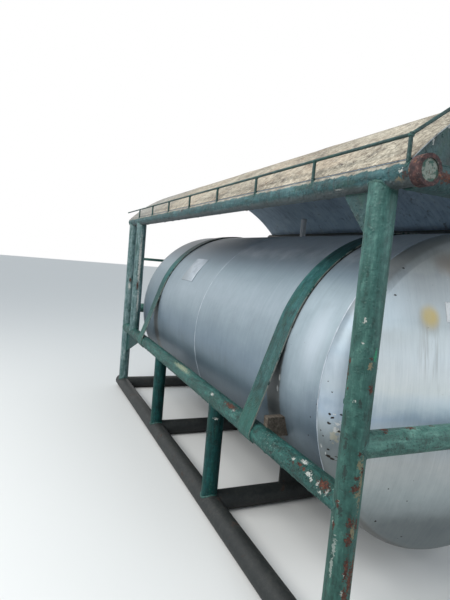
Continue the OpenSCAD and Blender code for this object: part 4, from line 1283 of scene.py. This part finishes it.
def stickerPlace(u, v):
    y, z, crown = between(stickerLook["y"], u), between(stickerLook["z"], v), stickerLook["crown"]
    x = stickerLook["crownX"] + math.sqrt(crown ** 2 - y ** 2 - z ** 2)
    normal = np.array((x - stickerLook["crownX"], y, z)) / crown
    corner = max(0.0, u + (1 - v) - stickerLook["curlFrom"]) / (2 - stickerLook["curlFrom"])
    lift = stickerLook["thick"] + stickerLook["curl"] * corner ** 2
    return np.array((x, y, tankZ + z)) + normal * lift, normal


plateDepth = plateLook["thick"] + plateLook["sunk"]
thinSheet("shell_plate", plateLook, shellPlatePlace, paints["shellPlate"], plateDepth)
thinSheet("head_sticker", stickerLook, stickerPlace, paints["sticker"], stickerLook["thick"])
print("stage: blank plate and sticker")

# floor, backdrop and light
studio = {
    "floorSeen": (0.80, 0.80, 0.79),
    "floorBounce": (0.13, 0.13, 0.13),
    "floorReach": 60.0,
    "skyLight": (0.84, 0.93, 1.0),
    "skyStrength": 0.66,
    "lamps": {
        "keyLight": {"place": (1.5, -6.5, 6.0), "target": (0.3, -0.4, 1.0), "size": (7.0, 4.0),
                     "power": 500.0, "colour": (1.0, 0.985, 0.95)},
        "fillLight": {"place": (7.0, 2.0, 4.0), "target": (1.6, 0, 1.2), "size": (4.0, 4.0),
                      "power": 120.0, "colour": (0.93, 0.97, 1.0)},
    },
}


def seenPath(finish):
    path = finish.add("ShaderNodeLightPath")
    return (path["Is Camera Ray"] + path["Is Glossy Ray"] + path["Is Transmission Ray"]).upTo(1.0)


floorPaint = Finish("studioFloor")
floorPaint.colour = floorPaint.blend(seenPath(floorPaint), studio["floorBounce"], studio["floorSeen"])
floorMesh = bpy.data.meshes.new("floor")
reach = studio["floorReach"]
corners = [(-reach, -reach, 0), (reach, -reach, 0), (reach, reach, 0), (-reach, reach, 0)]
floorMesh.from_pydata(corners, [], [(0, 1, 2, 3)])
floorMesh.materials.append(floorPaint.close(0.9))
floorObject = bpy.data.objects.new("floor", floorMesh)
scene.collection.objects.link(floorObject)

scene.world = bpy.data.worlds.new("studioWorld")
sky = Finish("studioWorld", scene.world)
skyValues = {"Color": studio["skyLight"], "Strength": studio["skyStrength"]}
skyShade = sky.add("ShaderNodeBackground", None, skyValues)
whiteShade = sky.add("ShaderNodeBackground", None, {"Color": (1, 1, 1), "Strength": 1.0})
mixed = sky.add("ShaderNodeMixShader", None, {0: seenPath(sky), 1: skyShade, 2: whiteShade})
sky.end("ShaderNodeOutputWorld", mixed)

for lampName, lamp in studio["lamps"].items():
    lampData = bpy.data.lights.new(lampName, "AREA")
    lampData.shape = "RECTANGLE"
    lampData.size, lampData.size_y = lamp["size"]
    lampData.energy = lamp["power"]
    lampData.color = lamp["colour"]
    lampObject = bpy.data.objects.new(lampName, lampData)
    scene.collection.objects.link(lampObject)
    aim = (Vector(lamp["target"]) - Vector(lamp["place"])).to_track_quat("-Z", "Y").to_matrix().to_4x4()
    lampObject.matrix_world = Matrix.Translation(lamp["place"]) @ aim
scene.view_settings.view_transform = "Standard"
print("stage: studio set")
